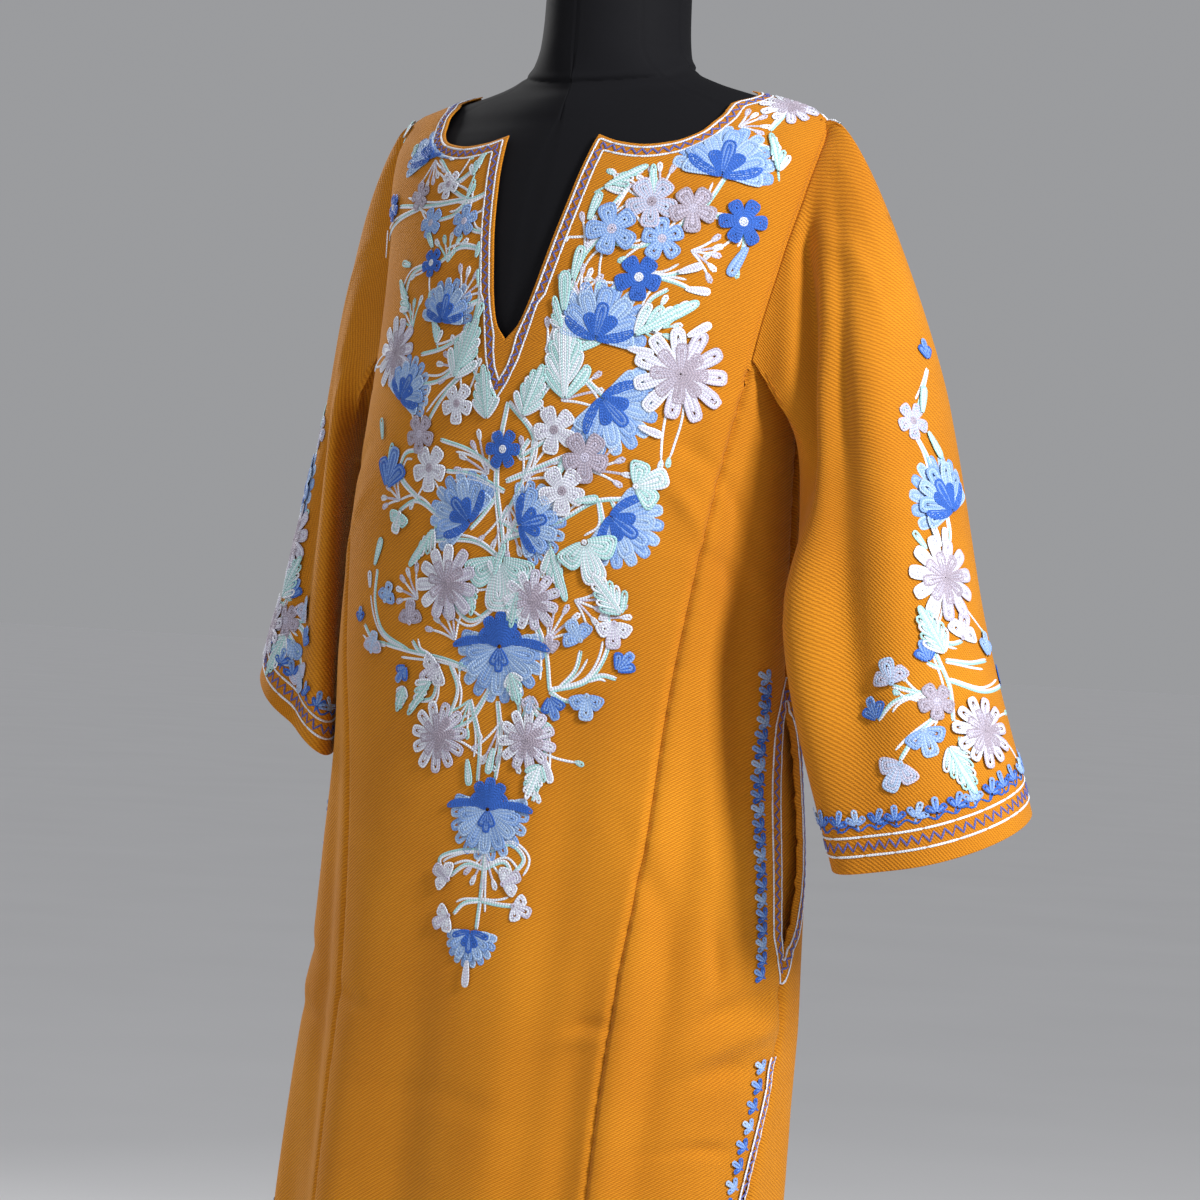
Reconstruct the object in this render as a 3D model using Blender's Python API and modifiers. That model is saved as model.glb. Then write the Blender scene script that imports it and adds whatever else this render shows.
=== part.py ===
"""A pheran, the loose embroidered tunic of Kashmir, standing on a limbless dress form.

The cloth is a wall between two surfaces. Its outer surface goes through the level sections of
GARMENT, with the soft folds of BODY_FOLDS, and each cut piece is a patch of that surface. The
form stands inside, through the sections of FORM. Metres, +Z up, the front faces -Y and the
wearer's left side is +X. The origin is on the floor under the form's pole.
"""

import math
from collections import namedtuple

import bmesh
import bpy
import numpy as np
from mathutils import Matrix, Vector

WALL = 0.0016
SEAM_GAP = 0.0003
SHOULDER_POINT_Z = 1.368
NECK_POINT_Z = 1.392
UNDERARM_Z = 1.13
POCKET_TOP_Z, POCKET_BOTTOM_Z = 0.915, 0.735
VENT_TOP_Z = 0.648

# A level section: where its middle lies in X, half its width, where its front, side and back
# lie in Y, and how square it is (2 is an ellipse, less is pointed at the sides).
Section = namedtuple("Section", "z middle half_width front side back squareness")

GARMENT = [
    Section(1.3920, 0.000, 0.1265, -0.0660, 0.000, 0.0600, 1.20),
    Section(1.3830, 0.000, 0.1610, -0.0715, 0.000, 0.0660, 1.25),
    Section(1.3750, 0.000, 0.1845, -0.0760, 0.000, 0.0710, 1.32),
    Section(1.3680, 0.000, 0.1940, -0.0790, 0.000, 0.0740, 1.40),
    Section(1.3540, 0.000, 0.1980, -0.0850, 0.000, 0.0800, 1.65),
    Section(1.3420, 0.000, 0.1990, -0.0920, 0.000, 0.0850, 1.85),
    Section(1.3100, 0.000, 0.1970, -0.1060, 0.000, 0.0960, 2.00),
    Section(1.2600, -0.001, 0.1910, -0.1200, 0.000, 0.1040, 2.00),
    Section(1.2000, -0.004, 0.1880, -0.1280, 0.000, 0.1080, 2.05),
    Section(1.1300, -0.008, 0.1920, -0.1320, 0.000, 0.1060, 2.10),
    Section(1.0500, -0.013, 0.1980, -0.1310, -0.001, 0.1010, 2.15),
    Section(0.9500, -0.015, 0.2030, -0.1290, -0.004, 0.1000, 2.15),
    Section(0.8700, -0.012, 0.2060, -0.1300, -0.006, 0.1080, 2.10),
    Section(0.7800, -0.009, 0.2100, -0.1370, -0.008, 0.1180, 2.05),
    Section(0.7000, -0.009, 0.2115, -0.1450, -0.011, 0.1150, 2.00),
    Section(0.6000, -0.014, 0.2130, -0.1490, -0.014, 0.1060, 2.00),
    Section(0.4500, -0.021, 0.2160, -0.1520, -0.017, 0.0980, 2.00),
    Section(0.2700, -0.024, 0.2220, -0.1560, -0.020, 0.0960, 2.00),
]

FORM = [
    Section(1.4950, 0.0, 0.0560, -0.0590, 0.000, 0.0570, 2.00),
    Section(1.4500, 0.0, 0.0570, -0.0600, 0.000, 0.0570, 2.00),
    Section(1.4250, 0.0, 0.0595, -0.0610, 0.000, 0.0570, 2.00),
    Section(1.4080, 0.0, 0.0720, -0.0620, 0.000, 0.0560, 1.70),
    Section(1.3980, 0.0, 0.0950, -0.0630, 0.000, 0.0560, 1.35),
    Section(1.3893, 0.0, 0.1250, -0.0640, 0.000, 0.0570, 1.20),
    Section(1.3800, 0.0, 0.1600, -0.0690, 0.000, 0.0630, 1.24),
    Section(1.3700, 0.0, 0.1800, -0.0735, 0.000, 0.0685, 1.32),
    Section(1.3620, 0.0, 0.1860, -0.0765, 0.000, 0.0710, 1.42),
    Section(1.3540, 0.0, 0.1890, -0.0805, 0.000, 0.0760, 1.58),
    Section(1.3420, 0.0, 0.1900, -0.0870, 0.000, 0.0805, 1.78),
    Section(1.3100, 0.0, 0.1880, -0.1010, 0.000, 0.0910, 1.95),
    Section(1.2600, 0.0, 0.1780, -0.1150, 0.000, 0.0990, 1.95),
    Section(1.2000, 0.0, 0.1700, -0.1220, 0.000, 0.1020, 2.00),
    Section(1.1300, 0.0, 0.1650, -0.1230, 0.000, 0.0990, 2.00),
    Section(1.0500, 0.0, 0.1500, -0.1120, 0.000, 0.0920, 2.00),
    Section(0.9500, 0.0, 0.1400, -0.0990, 0.000, 0.0900, 2.00),
    Section(0.8700, 0.0, 0.1620, -0.1080, -0.002, 0.0990, 2.00),
    Section(0.7800, 0.0, 0.1800, -0.1180, -0.004, 0.1080, 2.00),
    Section(0.7100, 0.0, 0.1740, -0.1120, -0.004, 0.1030, 2.00),
]

# Where the seam between the front centre and its neighbours runs: turn in degrees from the
# wearer's left side (0) to the front (90). Above the underarm it is the sleeve seam.
SeamAt = namedtuple("SeamAt", "z turn")
FRONT_SEAM = [
    SeamAt(1.368, 0.0),
    SeamAt(1.340, 8.0),
    SeamAt(1.300, 13.0),
    SeamAt(1.250, 17.0),
    SeamAt(1.210, 20.0),
    SeamAt(1.180, 22.0),
    SeamAt(1.100, 29.0),
    SeamAt(1.000, 38.0),
    SeamAt(0.875, 46.0),
    SeamAt(0.650, 54.0),
    SeamAt(0.530, 55.0),
    SeamAt(0.270, 57.0),
]
BACK_ARMHOLE = [
    SeamAt(1.368, 0.0),
    SeamAt(1.340, -9.0),
    SeamAt(1.300, -13.5),
    SeamAt(1.250, -16.0),
    SeamAt(1.200, -15.0),
    SeamAt(1.160, -9.0),
    SeamAt(1.130, 0.0),
]
# The side seam runs straight down and drifts to the front below the vent's top.
SIDE_SEAM = [
    SeamAt(1.130, 0.0),
    SeamAt(0.700, 0.0),
    SeamAt(0.648, 1.0),
    SeamAt(0.530, 9.0),
    SeamAt(0.270, 15.0),
]

# One half of the neckline, in front and behind, and of the front slit.
EdgeAt = namedtuple("EdgeAt", "x z")
NECKLINE = [
    EdgeAt(0.0418, 1.3500),
    EdgeAt(0.0600, 1.3445),
    EdgeAt(0.0820, 1.3420),
    EdgeAt(0.1030, 1.3450),
    EdgeAt(0.1180, 1.3530),
    EdgeAt(0.1255, 1.3650),
    EdgeAt(0.1275, 1.3790),
    EdgeAt(0.1265, 1.3920),
]
BACK_NECKLINE = [
    EdgeAt(0.0000, 1.3745),
    EdgeAt(0.0320, 1.3748),
    EdgeAt(0.0620, 1.3756),
    EdgeAt(0.0880, 1.3770),
    EdgeAt(0.1080, 1.3795),
    EdgeAt(0.1200, 1.3830),
    EdgeAt(0.1255, 1.3872),
    EdgeAt(0.1265, 1.3920),
]
SLIT = [
    EdgeAt(0.0418, 1.350),
    EdgeAt(0.0370, 1.320),
    EdgeAt(0.0305, 1.283),
    EdgeAt(0.0232, 1.248),
    EdgeAt(0.0168, 1.220),
    EdgeAt(0.0100, 1.200),
    EdgeAt(0.0000, 1.188),
]

# The heights of a panel's rows at its inner edge (slit and centre) and at its outer edge.
Row = namedtuple("Row", "inner_z outer_z")
ARMHOLE_ROWS = [
    Row(1.350, 1.368),
    Row(1.341, 1.362),
    Row(1.326, 1.352),
    Row(1.307, 1.337),
    Row(1.286, 1.318),
    Row(1.263, 1.293),
    Row(1.240, 1.265),
    Row(1.218, 1.235),
    Row(1.200, 1.207),
    Row(1.188, 1.180),
]
LOWER_ROWS = [
    Row(1.150, 1.110),
    Row(1.100, 1.062),
    Row(1.040, 1.010),
    Row(0.972, 0.960),
    Row(0.915, 0.915),
    Row(0.885, 0.885),
    Row(0.855, 0.855),
    Row(0.825, 0.825),
    Row(0.795, 0.795),
    Row(0.765, 0.765),
    Row(0.735, 0.735),
    Row(0.692, 0.692),
    Row(0.648, 0.648),
    Row(0.600, 0.600),
    Row(0.540, 0.540),
    Row(0.475, 0.475),
    Row(0.408, 0.408),
    Row(0.340, 0.340),
    Row(0.270, 0.270),
]
SHOULDER_COLUMNS = 4
SIDE_COLUMNS = 5

# Soft vertical folds of the body: where they lie and end, how far they drift round on the way
# down (in degrees), how wide they are (in degrees) and how far they stand out or, below zero, in.
Fold = namedtuple("Fold", "turn width top bottom drift height")
BODY_FOLDS = [
    Fold(47, 7, 0.93, 0.10, 6, 0.0065),
    Fold(60, 5, 0.86, 0.10, 2, -0.0050),
    Fold(26, 9, 0.66, 0.10, 4, 0.0070),
    Fold(76, 9, 0.78, 0.10, -2, 0.0045),
    Fold(101, 9, 0.90, 0.10, -4, -0.0055),
    Fold(120, 9, 0.84, 0.10, -2, 0.0065),
    Fold(140, 8, 0.74, 0.10, 4, -0.0050),
    Fold(157, 9, 0.80, 0.10, -3, 0.0070),
    Fold(28, 8, 1.17, 0.82, -12, -0.0040),
    Fold(152, 8, 1.17, 0.82, 12, -0.0040),
    Fold(205, 10, 0.86, 0.10, 4, 0.0080),
    Fold(228, 9, 1.02, 0.10, 6, -0.0060),
    Fold(252, 9, 0.88, 0.10, -3, 0.0090),
    Fold(276, 9, 1.05, 0.10, 2, -0.0060),
    Fold(300, 10, 0.90, 0.10, 3, 0.0090),
    Fold(326, 9, 1.00, 0.10, -5, -0.0055),
    Fold(344, 9, 0.82, 0.10, 3, 0.0070),
]

# A sleeve's rings below its armhole, for the wearer's left: how far along it, the centre, half
# the width across and half the depth, how far its plane tips down inward and down in front, and
# how far its front is turned towards the body.
Ring = namedtuple("Ring", "along x y z half_width half_depth tip_in tip_front yaw")
LEFT_SLEEVE = [
    Ring(0.36, 0.2510, -0.004, 1.1100, 0.0700, 0.0700, 40, 5, 0),
    Ring(0.66, 0.2800, -0.012, 0.9760, 0.0700, 0.0730, 17, 11, 4),
    Ring(1.00, 0.3320, -0.016, 0.8310, 0.0680, 0.0740, 5, 20, 8),
]
RIGHT_SLEEVE = [
    Ring(0.36, 0.2480, 0.020, 1.1100, 0.0320, 0.0740, 45, 5, 20),
    Ring(0.66, 0.2620, 0.012, 0.9920, 0.0390, 0.0740, 34, 14, 30),
    Ring(1.00, 0.2710, 0.004, 0.8930, 0.0460, 0.0760, 26, 22, 40),
]
SLEEVE_ROWS = [
    0.0, 0.012, 0.035, 0.07, 0.115, 0.17, 0.235, 0.31, 0.39, 0.48, 0.57, 0.67, 0.77, 0.88, 1.0,
]
SleeveFold = namedtuple("SleeveFold", "turn width top bottom height")
LEFT_SLEEVE_FOLDS = [
    SleeveFold(118, 15, 0.06, 1.3, 0.0150),
    SleeveFold(84, 14, 0.10, 0.95, -0.0130),
    SleeveFold(48, 16, 0.10, 0.80, 0.0060),
    SleeveFold(250, 16, 0.06, 1.3, 0.0110),
    SleeveFold(284, 15, 0.10, 0.90, -0.0090),
    SleeveFold(180, 20, 0.15, 1.2, -0.0060),
]
RIGHT_SLEEVE_FOLDS = [
    SleeveFold(98, 13, 0.20, 1.3, 0.0110),
    SleeveFold(58, 14, 0.15, 1.2, -0.0140),
    SleeveFold(140, 18, 0.15, 1.5, -0.0120),
    SleeveFold(196, 18, -0.05, 0.60, -0.0070),
    SleeveFold(240, 16, 0.10, 1.3, 0.0100),
    SleeveFold(285, 15, 0.15, 0.95, -0.0080),
]
# How far a sleeve swells out of its seam before it turns down, and which way it leaves.
SEAM_SWELL = 0.10
LEAVE_OUT, LEAVE_IN = 0.9, 0.45

POCKET_DEPTH = 0.012
POCKET_CLEARANCE = 0.0019
POCKET_MARGIN_TURN = 7.0
POCKET_MARGIN_Z = 0.022
POCKET_COLUMNS, POCKET_ROWS = 8, 9
POCKET_OPEN_FRONT, POCKET_OPEN_BACK = 2.5, 12.0
VENT_OPEN = 2.4

FORM_SIDES = 36
NECK_CAP_HEIGHT = 0.012
POLE_RADIUS = 0.016
SOCKET_RADIUS, SOCKET_HEIGHT = 0.030, 0.050
BASE_RADIUS, BASE_HEIGHT, BASE_EDGE = 0.210, 0.014, 0.004
COLLAR_RADIUS, COLLAR_HEIGHT = 0.034, 0.036

Finish = namedtuple("Finish", "colour roughness metallic")
CLOTH = Finish((0.60, 0.235, 0.015), 0.85, 0.0)
FORM_COVER = Finish((0.012, 0.012, 0.014), 0.60, 0.0)
STEEL = Finish((0.05, 0.05, 0.055), 0.35, 0.9)


def smooth_through(known, values, at):
    """A smooth curve through the values at the known places (rising), without overshoot."""
    step = np.diff(known)
    rise = np.diff(values) / step
    slope = np.zeros(len(known))
    slope[0], slope[-1] = rise[0], rise[-1]
    for i in range(1, len(known) - 1):
        if rise[i - 1] * rise[i] > 0:
            slope[i] = 2 * rise[i - 1] * rise[i] / (rise[i - 1] + rise[i])
    at = min(max(at, known[0]), known[-1])
    i = min(int(np.searchsorted(known, at, side="right")) - 1, len(step) - 1)
    t = (at - known[i]) / step[i]
    here, there = values[i], values[i + 1]
    bend = slope[i] * step[i], slope[i + 1] * step[i]
    return (
        here * (1 + 2 * t) * (1 - t) ** 2
        + there * t * t * (3 - 2 * t)
        + bend[0] * t * (1 - t) ** 2
        + bend[1] * t * t * (t - 1)
    )


def along_table(table, by, want, at):
    """One column of a table, read smoothly at a value of another."""
    rows = sorted(table, key=lambda row: getattr(row, by))
    known = np.array([getattr(row, by) for row in rows])
    values = np.array([getattr(row, want) for row in rows])
    return smooth_through(known, values, at)


def eased(x):
    x = min(max(x, 0.0), 1.0)
    return x * x * (3 - 2 * x)


def fold_height(turn, z):
    """How far the body's folds move the cloth out at this place."""
    total = 0.0
    for fold in BODY_FOLDS:
        if not fold.bottom < z < fold.top:
            continue
        down = (fold.top - z) / (fold.top - fold.bottom)
        middle = fold.turn + fold.drift * down
        away = (turn - middle + 180) % 360 - 180
        strength = eased(down * 2.2) * eased((z - fold.bottom) / 0.12)
        total += fold.height * strength * math.exp(-0.5 * (away / fold.width * 1.6) ** 2)
    return total


section_memory = {}


def section_at(table, z):
    """The section's numbers at this height."""
    key = (id(table), round(z, 6))
    if key not in section_memory:
        section_memory[key] = [
            along_table(table, "z", column, z) for column in Section._fields[1:]
        ]
    return section_memory[key]


def on_section(table, turn, z, folds=0.0):
    """The point of a level section at this turn, from the wearer's left (0) to the front (90)."""
    middle, half_width, front, side, back, squareness = section_at(table, z)
    c, s = math.cos(math.radians(turn)), math.sin(math.radians(turn))
    reach = side - front if s > 0 else back - side
    power = 2 / squareness
    x = middle + half_width * math.copysign(abs(c) ** power, c)
    y = side - reach * math.copysign(abs(s) ** power, s)
    out = Vector((c / half_width, -s / reach, 0)).normalized()
    return Vector((x, y, z)) + out * folds


def body_point(turn, z):
    return on_section(GARMENT, turn, z, fold_height(turn, z))


def body_normal(turn, z):
    """The direction out of the cloth, the same for every piece that meets at a place."""
    across, up = 3.0, 0.002
    top = min(z + up, NECK_POINT_Z)
    along = body_point(turn + across, z) - body_point(turn - across, z)
    if abs(turn % 180) < 0.01 and z > SHOULDER_POINT_Z - 1e-6:
        along = Vector((0, -1, 0)) if turn % 360 < 90 else Vector((0, 1, 0))
        rise = body_point(turn, top) - body_point(turn, max(z - up, SHOULDER_POINT_Z))
    else:
        rise = body_point(turn, top) - body_point(turn, z - up)
    return rise.cross(along).normalized()


class Patch:
    """A cut piece's grid of points: rows run down, columns run from its inner to its outer edge."""

    def __init__(self, places):
        self.outside = [[body_point(*p) for p in row] for row in places]
        normals = [[body_normal(*p) for p in row] for row in places]
        self.inside = [
            [p - n * WALL for p, n in zip(*pair)] for pair in zip(self.outside, normals)
        ]

    def draw_in(self, cells, neighbour):
        """Moves these cells half a seam gap away from the seam, towards their neighbours."""
        here = [self.outside[row][column] for row, column in cells]
        shifts = []
        for i, (row, column) in enumerate(cells):
            seam = here[min(i + 1, len(here) - 1)] - here[max(i - 1, 0)]
            out = here[i] - self.inside[row][column]
            away = out.cross(seam).normalized()
            next_row, next_column = neighbour(row, column)
            if away.dot(self.outside[next_row][next_column] - here[i]) < 0:
                away = -away
            shifts.append(away * (SEAM_GAP / 2))
        for (row, column), shift in zip(cells, shifts):
            self.outside[row][column] = self.outside[row][column] + shift
            self.inside[row][column] = self.inside[row][column] + shift


def new_object(name, mesh_of, finish, collection):
    """An object with its own mesh and material, made from a bmesh."""
    mesh = bpy.data.meshes.new(name)
    mesh_of.to_mesh(mesh)
    mesh_of.free()
    mesh.shade_smooth()
    mesh.set_sharp_from_angle(angle=math.radians(50))
    obj = bpy.data.objects.new(name, mesh)
    collection.objects.link(obj)
    material = bpy.data.materials.new(name)
    material.use_nodes = True
    shader = material.node_tree.nodes["Principled BSDF"]
    shader.inputs["Base Color"].default_value = (*finish.colour, 1)
    shader.inputs["Roughness"].default_value = finish.roughness
    shader.inputs["Metallic"].default_value = finish.metallic
    mesh.materials.append(material)
    return obj


def grid_faces(bm, grid, closed=False):
    """Quads between the rows and columns of vertices."""
    for above, below in zip(grid, grid[1:]):
        count = len(above)
        for i in range(count if closed else count - 1):
            j = (i + 1) % count
            bm.faces.new((above[i], above[j], below[j], below[i]))


def strip_faces(bm, first, second):
    """Quads between two lines of vertices."""
    for i in range(len(first) - 1):
        bm.faces.new((first[i], first[i + 1], second[i + 1], second[i]))


def wall_object(name, patches, open_rows, finish, collection):
    """One closed wall from patches that share their inner edge below the row open_rows."""
    bm = bmesh.new()
    for patch in patches:
        sides = [
            [[bm.verts.new(p) for p in row] for row in grid]
            for grid in (patch.outside, patch.inside)
        ]
        out, into = sides
        grid_faces(bm, out)
        grid_faces(bm, into)
        strip_faces(bm, out[0], into[0])
        strip_faces(bm, out[-1], into[-1])
        strip_faces(bm, [row[-1] for row in out], [row[-1] for row in into])
        strip_faces(
            bm,
            [row[0] for row in out[: open_rows + 1]],
            [row[0] for row in into[: open_rows + 1]],
        )
    bmesh.ops.remove_doubles(bm, verts=bm.verts, dist=1e-6)
    bmesh.ops.recalc_face_normals(bm, faces=bm.faces)
    return new_object(name, bm, finish, collection)


def turn_at(x, z):
    """The turn from the side at which the garment's section reaches this far from its middle."""
    half_width, squareness = section_at(GARMENT, z)[1], section_at(GARMENT, z)[-1]
    return math.degrees(math.acos(min(1.0, x / half_width) ** (squareness / 2)))


def seam_turn(table, z):
    return along_table(table, "z", "turn", z)


def side_turn(z, panel):
    """The side seam's turn for the front or back panel: they part at the pocket and the vent."""
    turn = seam_turn(SIDE_SEAM, z)
    pocket = (POCKET_TOP_Z - z) / (POCKET_TOP_Z - POCKET_BOTTOM_Z)
    if 0 < pocket < 1:
        parted = math.sin(math.pi * pocket) ** 0.7
        turn += parted * (POCKET_OPEN_FRONT if panel == "front" else -POCKET_OPEN_BACK)
    if z < VENT_TOP_Z:
        parted = eased((VENT_TOP_Z - z) / 0.25)
        turn += parted * (VENT_OPEN if panel == "front" else -VENT_OPEN / 2)
    return turn


def shoulder_and_neck(neckline, facing):
    """The top edge of a half panel: round the neckline, then out along the shoulder seam."""
    fall = (NECK_POINT_Z - SHOULDER_POINT_Z) / SHOULDER_COLUMNS
    shoulder = [(0.0, NECK_POINT_Z - fall * i) for i in range(1, SHOULDER_COLUMNS + 1)]
    return [(facing * turn_at(edge.x, edge.z), edge.z) for edge in neckline] + shoulder


def half_panel(top, inner, outer, settle_rows):
    """Places of a half panel between its edges. The top edge's shape dies away downwards."""
    places = []
    last = len(top) - 1
    for k, (start, end) in enumerate(zip(inner, outer)):
        hold = max(0.0, 1 - k / settle_rows) ** 1.5
        row = []
        for i, (turn, z) in enumerate(top):
            u = i / last
            level = [a + (b - a) * u for a, b in zip(start, end)]
            first = [a + (b - a) * u for a, b in zip(inner[0], outer[0])]
            row.append(
                (level[0] + hold * (turn - first[0]), level[1] + hold * (z - first[1]))
            )
        places.append(row)
    return places


def slit_turn(z):
    """The turn of the slit's edge, and the front's middle below it."""
    if z <= SLIT[-1].z + 1e-9:
        return 90.0
    return turn_at(along_table(SLIT, "z", "x", z), z)


def mirrored(places):
    """The same places on the wearer's right."""
    return [[(180 - turn, z) for turn, z in row] for row in places]


def seam_cells(rows, column):
    return [(row, column) for row in rows]


def front_centre_patch(flip):
    inner = [(slit_turn(row.inner_z), row.inner_z) for row in ARMHOLE_ROWS + LOWER_ROWS]
    outer = [
        (seam_turn(FRONT_SEAM, row.outer_z), row.outer_z)
        for row in ARMHOLE_ROWS + LOWER_ROWS
    ]
    places = half_panel(
        shoulder_and_neck(NECKLINE, 1), inner, outer, len(ARMHOLE_ROWS) - 1
    )
    patch = Patch(flip(places))
    last = len(places[0]) - 1
    neck = len(NECKLINE) - 1
    patch.draw_in(
        seam_cells(range(len(places)), last), lambda r, c: (r, c - 1)
    )
    patch.draw_in([(0, c) for c in range(neck, last + 1)], lambda r, c: (r + 1, c))
    return patch


def back_patch(flip):
    rows = ARMHOLE_ROWS + [Row(1.175, UNDERARM_Z)] + LOWER_ROWS
    tops = np.interp(
        range(len(rows)),
        [0, len(ARMHOLE_ROWS)],
        [BACK_NECKLINE[0].z, rows[len(ARMHOLE_ROWS)].inner_z],
    )
    inner = [
        (-90.0, top if k <= len(ARMHOLE_ROWS) else row.inner_z)
        for k, (row, top) in enumerate(zip(rows, tops))
    ]
    armhole = len(ARMHOLE_ROWS)
    outer = [
        (
            seam_turn(BACK_ARMHOLE, row.outer_z)
            if k <= armhole
            else side_turn(row.outer_z, "back"),
            row.outer_z,
        )
        for k, row in enumerate(rows)
    ]
    places = half_panel(shoulder_and_neck(BACK_NECKLINE, -1), inner, outer, armhole)
    patch = Patch(flip(places))
    last = len(places[0]) - 1
    neck = len(BACK_NECKLINE) - 1
    patch.draw_in(seam_cells(range(len(places)), last), lambda r, c: (r, c - 1))
    patch.draw_in([(0, c) for c in range(neck, last + 1)], lambda r, c: (r + 1, c))
    return patch


def side_panel_patch(flip):
    """From the front seam (inner edge) to the side seam (outer edge), underarm to hem."""
    rows = [Row(ARMHOLE_ROWS[-1].outer_z, UNDERARM_Z)]
    rows += [Row(row.outer_z, row.outer_z) for row in LOWER_ROWS]
    places = []
    for row in rows:
        start = (seam_turn(FRONT_SEAM, row.inner_z), row.inner_z)
        end = (side_turn(row.outer_z, "front"), row.outer_z)
        places.append(
            [
                tuple(a + (b - a) * i / SIDE_COLUMNS for a, b in zip(start, end))
                for i in range(SIDE_COLUMNS + 1)
            ]
        )
    patch = Patch(flip(places))
    patch.draw_in(seam_cells(range(len(places)), 0), lambda r, c: (r, c + 1))
    patch.draw_in(seam_cells(range(len(places)), SIDE_COLUMNS), lambda r, c: (r, c - 1))
    patch.draw_in([(0, c) for c in range(SIDE_COLUMNS + 1)], lambda r, c: (r + 1, c))
    return patch


def armhole_loop():
    """The places round the left armhole: down the front seam, under the arm, up the back."""
    front = [
        (seam_turn(FRONT_SEAM, row.outer_z), row.outer_z) for row in ARMHOLE_ROWS
    ]
    start, end = front[-1], (0.0, UNDERARM_Z)
    under = [
        tuple(a + (b - a) * i / SIDE_COLUMNS for a, b in zip(start, end))
        for i in range(1, SIDE_COLUMNS + 1)
    ]
    back = [
        (seam_turn(BACK_ARMHOLE, row.outer_z), row.outer_z)
        for row in ARMHOLE_ROWS[:0:-1]
    ]
    return front + under + back


def sleeve_fold(folds, turn, along):
    """How far a sleeve's folds move its cloth out at this place."""
    total = 0.0
    for fold in folds:
        away = (turn - fold.turn + 180) % 360 - 180
        strength = eased((along - fold.top) / 0.25) * eased((fold.bottom - along) / 0.3)
        total += fold.height * strength * math.exp(-0.5 * (away / fold.width) ** 2)
    return total


def ring_point(rings, turn, along, swell):
    """The sleeve's own tube at this turn round it: 0 is its outer side, 90 its front."""
    x, y, z, half_width, half_depth, tip_in, tip_front, yaw = [
        along_table(rings, "along", column, along) for column in Ring._fields[1:]
    ]
    tip_in, tip_front = math.radians(tip_in), math.radians(tip_front)
    turned_in = Matrix.Rotation(-math.radians(yaw), 3, "Z")
    across = turned_in @ Vector((math.cos(tip_in), 0, math.sin(tip_in)))
    ahead = turned_in @ Vector((0, -math.cos(tip_front), -math.sin(tip_front)))
    c, s = math.cos(math.radians(turn)), math.sin(math.radians(turn))
    return (
        Vector((x, y, z))
        + across * (c * (half_width + swell))
        + ahead * (s * (half_depth + swell))
    )


def sleeve_grids(rings, folds, side):
    """The sleeve's outside and inside, as rows of points from the armhole to the cuff."""
    loop = armhole_loop()
    if side < 0:
        loop = [(180 - turn, z) for turn, z in loop]
    edge = [body_point(*place) for place in loop]
    normals = [body_normal(*place) for place in loop]
    count = len(loop)
    middle = sum(edge, Vector()) / count
    run = [0.0]
    for i in range(count):
        run.append(run[-1] + (edge[(i + 1) % count] - edge[i]).length)
    under = len(ARMHOLE_ROWS) - 1 + SIDE_COLUMNS
    turns = [
        180 * run[i] / run[under]
        if i <= under
        else 180 + 180 * (run[i] - run[under]) / (run[count] - run[under])
        for i in range(count)
    ]
    flip = Vector((side, 1, 1))
    first = rings[0].along
    outside = []
    for along in SLEEVE_ROWS:
        row = []
        for i in range(count):
            tangent = edge[(i + 1) % count] - edge[i - 1]
            into = normals[i].cross(tangent).normalized()
            if into.dot(middle - edge[i]) < 0:
                into = -into
            start = edge[i] + into * SEAM_GAP
            if along == 0:
                row.append(start)
                continue
            swell = sleeve_fold(folds, turns[i], along)
            if along >= first:
                row.append(ring_point(rings, turns[i], along, swell) * flip)
                continue
            t = along / first
            end = ring_point(rings, turns[i], first, 0) * flip
            beyond = ring_point(rings, turns[i], first + 0.02, 0) * flip
            leave = (normals[i] * LEAVE_OUT + into * LEAVE_IN).normalized() * SEAM_SWELL
            arrive = (beyond - end) / 0.02 * first
            folded = outward(end, rings, first, flip) * swell
            row.append(hermite(start, leave, end, arrive, t) + folded)
        outside.append(row)
    return outside, edge, normals


def outward(point, rings, along, flip):
    """Straight out from the middle of the sleeve at this point."""
    middle = Vector(
        [along_table(rings, "along", column, along) for column in ("x", "y", "z")]
    ) * flip
    return (point - middle).normalized()


def hermite(start, leave, end, arrive, t):
    return (
        start * ((1 + 2 * t) * (1 - t) ** 2)
        + leave * (t * (1 - t) ** 2)
        + end * (t * t * (3 - 2 * t))
        + arrive * (t * t * (t - 1))
    )


def sleeve(name, rings, folds, side, collection):
    outside, edge, normals = sleeve_grids(rings, folds, side)
    count, last = len(edge), len(outside) - 1
    inside = []
    for k, row in enumerate(outside):
        inner_row = []
        for i, point in enumerate(row):
            if k == 0:
                inner_row.append(point - normals[i] * WALL)
                continue
            around = row[(i + 1) % count] - row[i - 1]
            down = outside[min(k + 1, last)][i] - outside[k - 1][i]
            out = around.cross(down).normalized() * -side
            inner_row.append(point - out * WALL)
        inside.append(inner_row)
    bm = bmesh.new()
    outer = [[bm.verts.new(p) for p in row] for row in outside]
    inner = [[bm.verts.new(p) for p in row] for row in inside]
    grid_faces(bm, outer, closed=True)
    grid_faces(bm, inner, closed=True)
    grid_faces(bm, [outer[0], inner[0]], closed=True)
    grid_faces(bm, [outer[-1], inner[-1]], closed=True)
    bmesh.ops.recalc_face_normals(bm, faces=bm.faces)
    return new_object(name, bm, CLOTH, collection)


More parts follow.
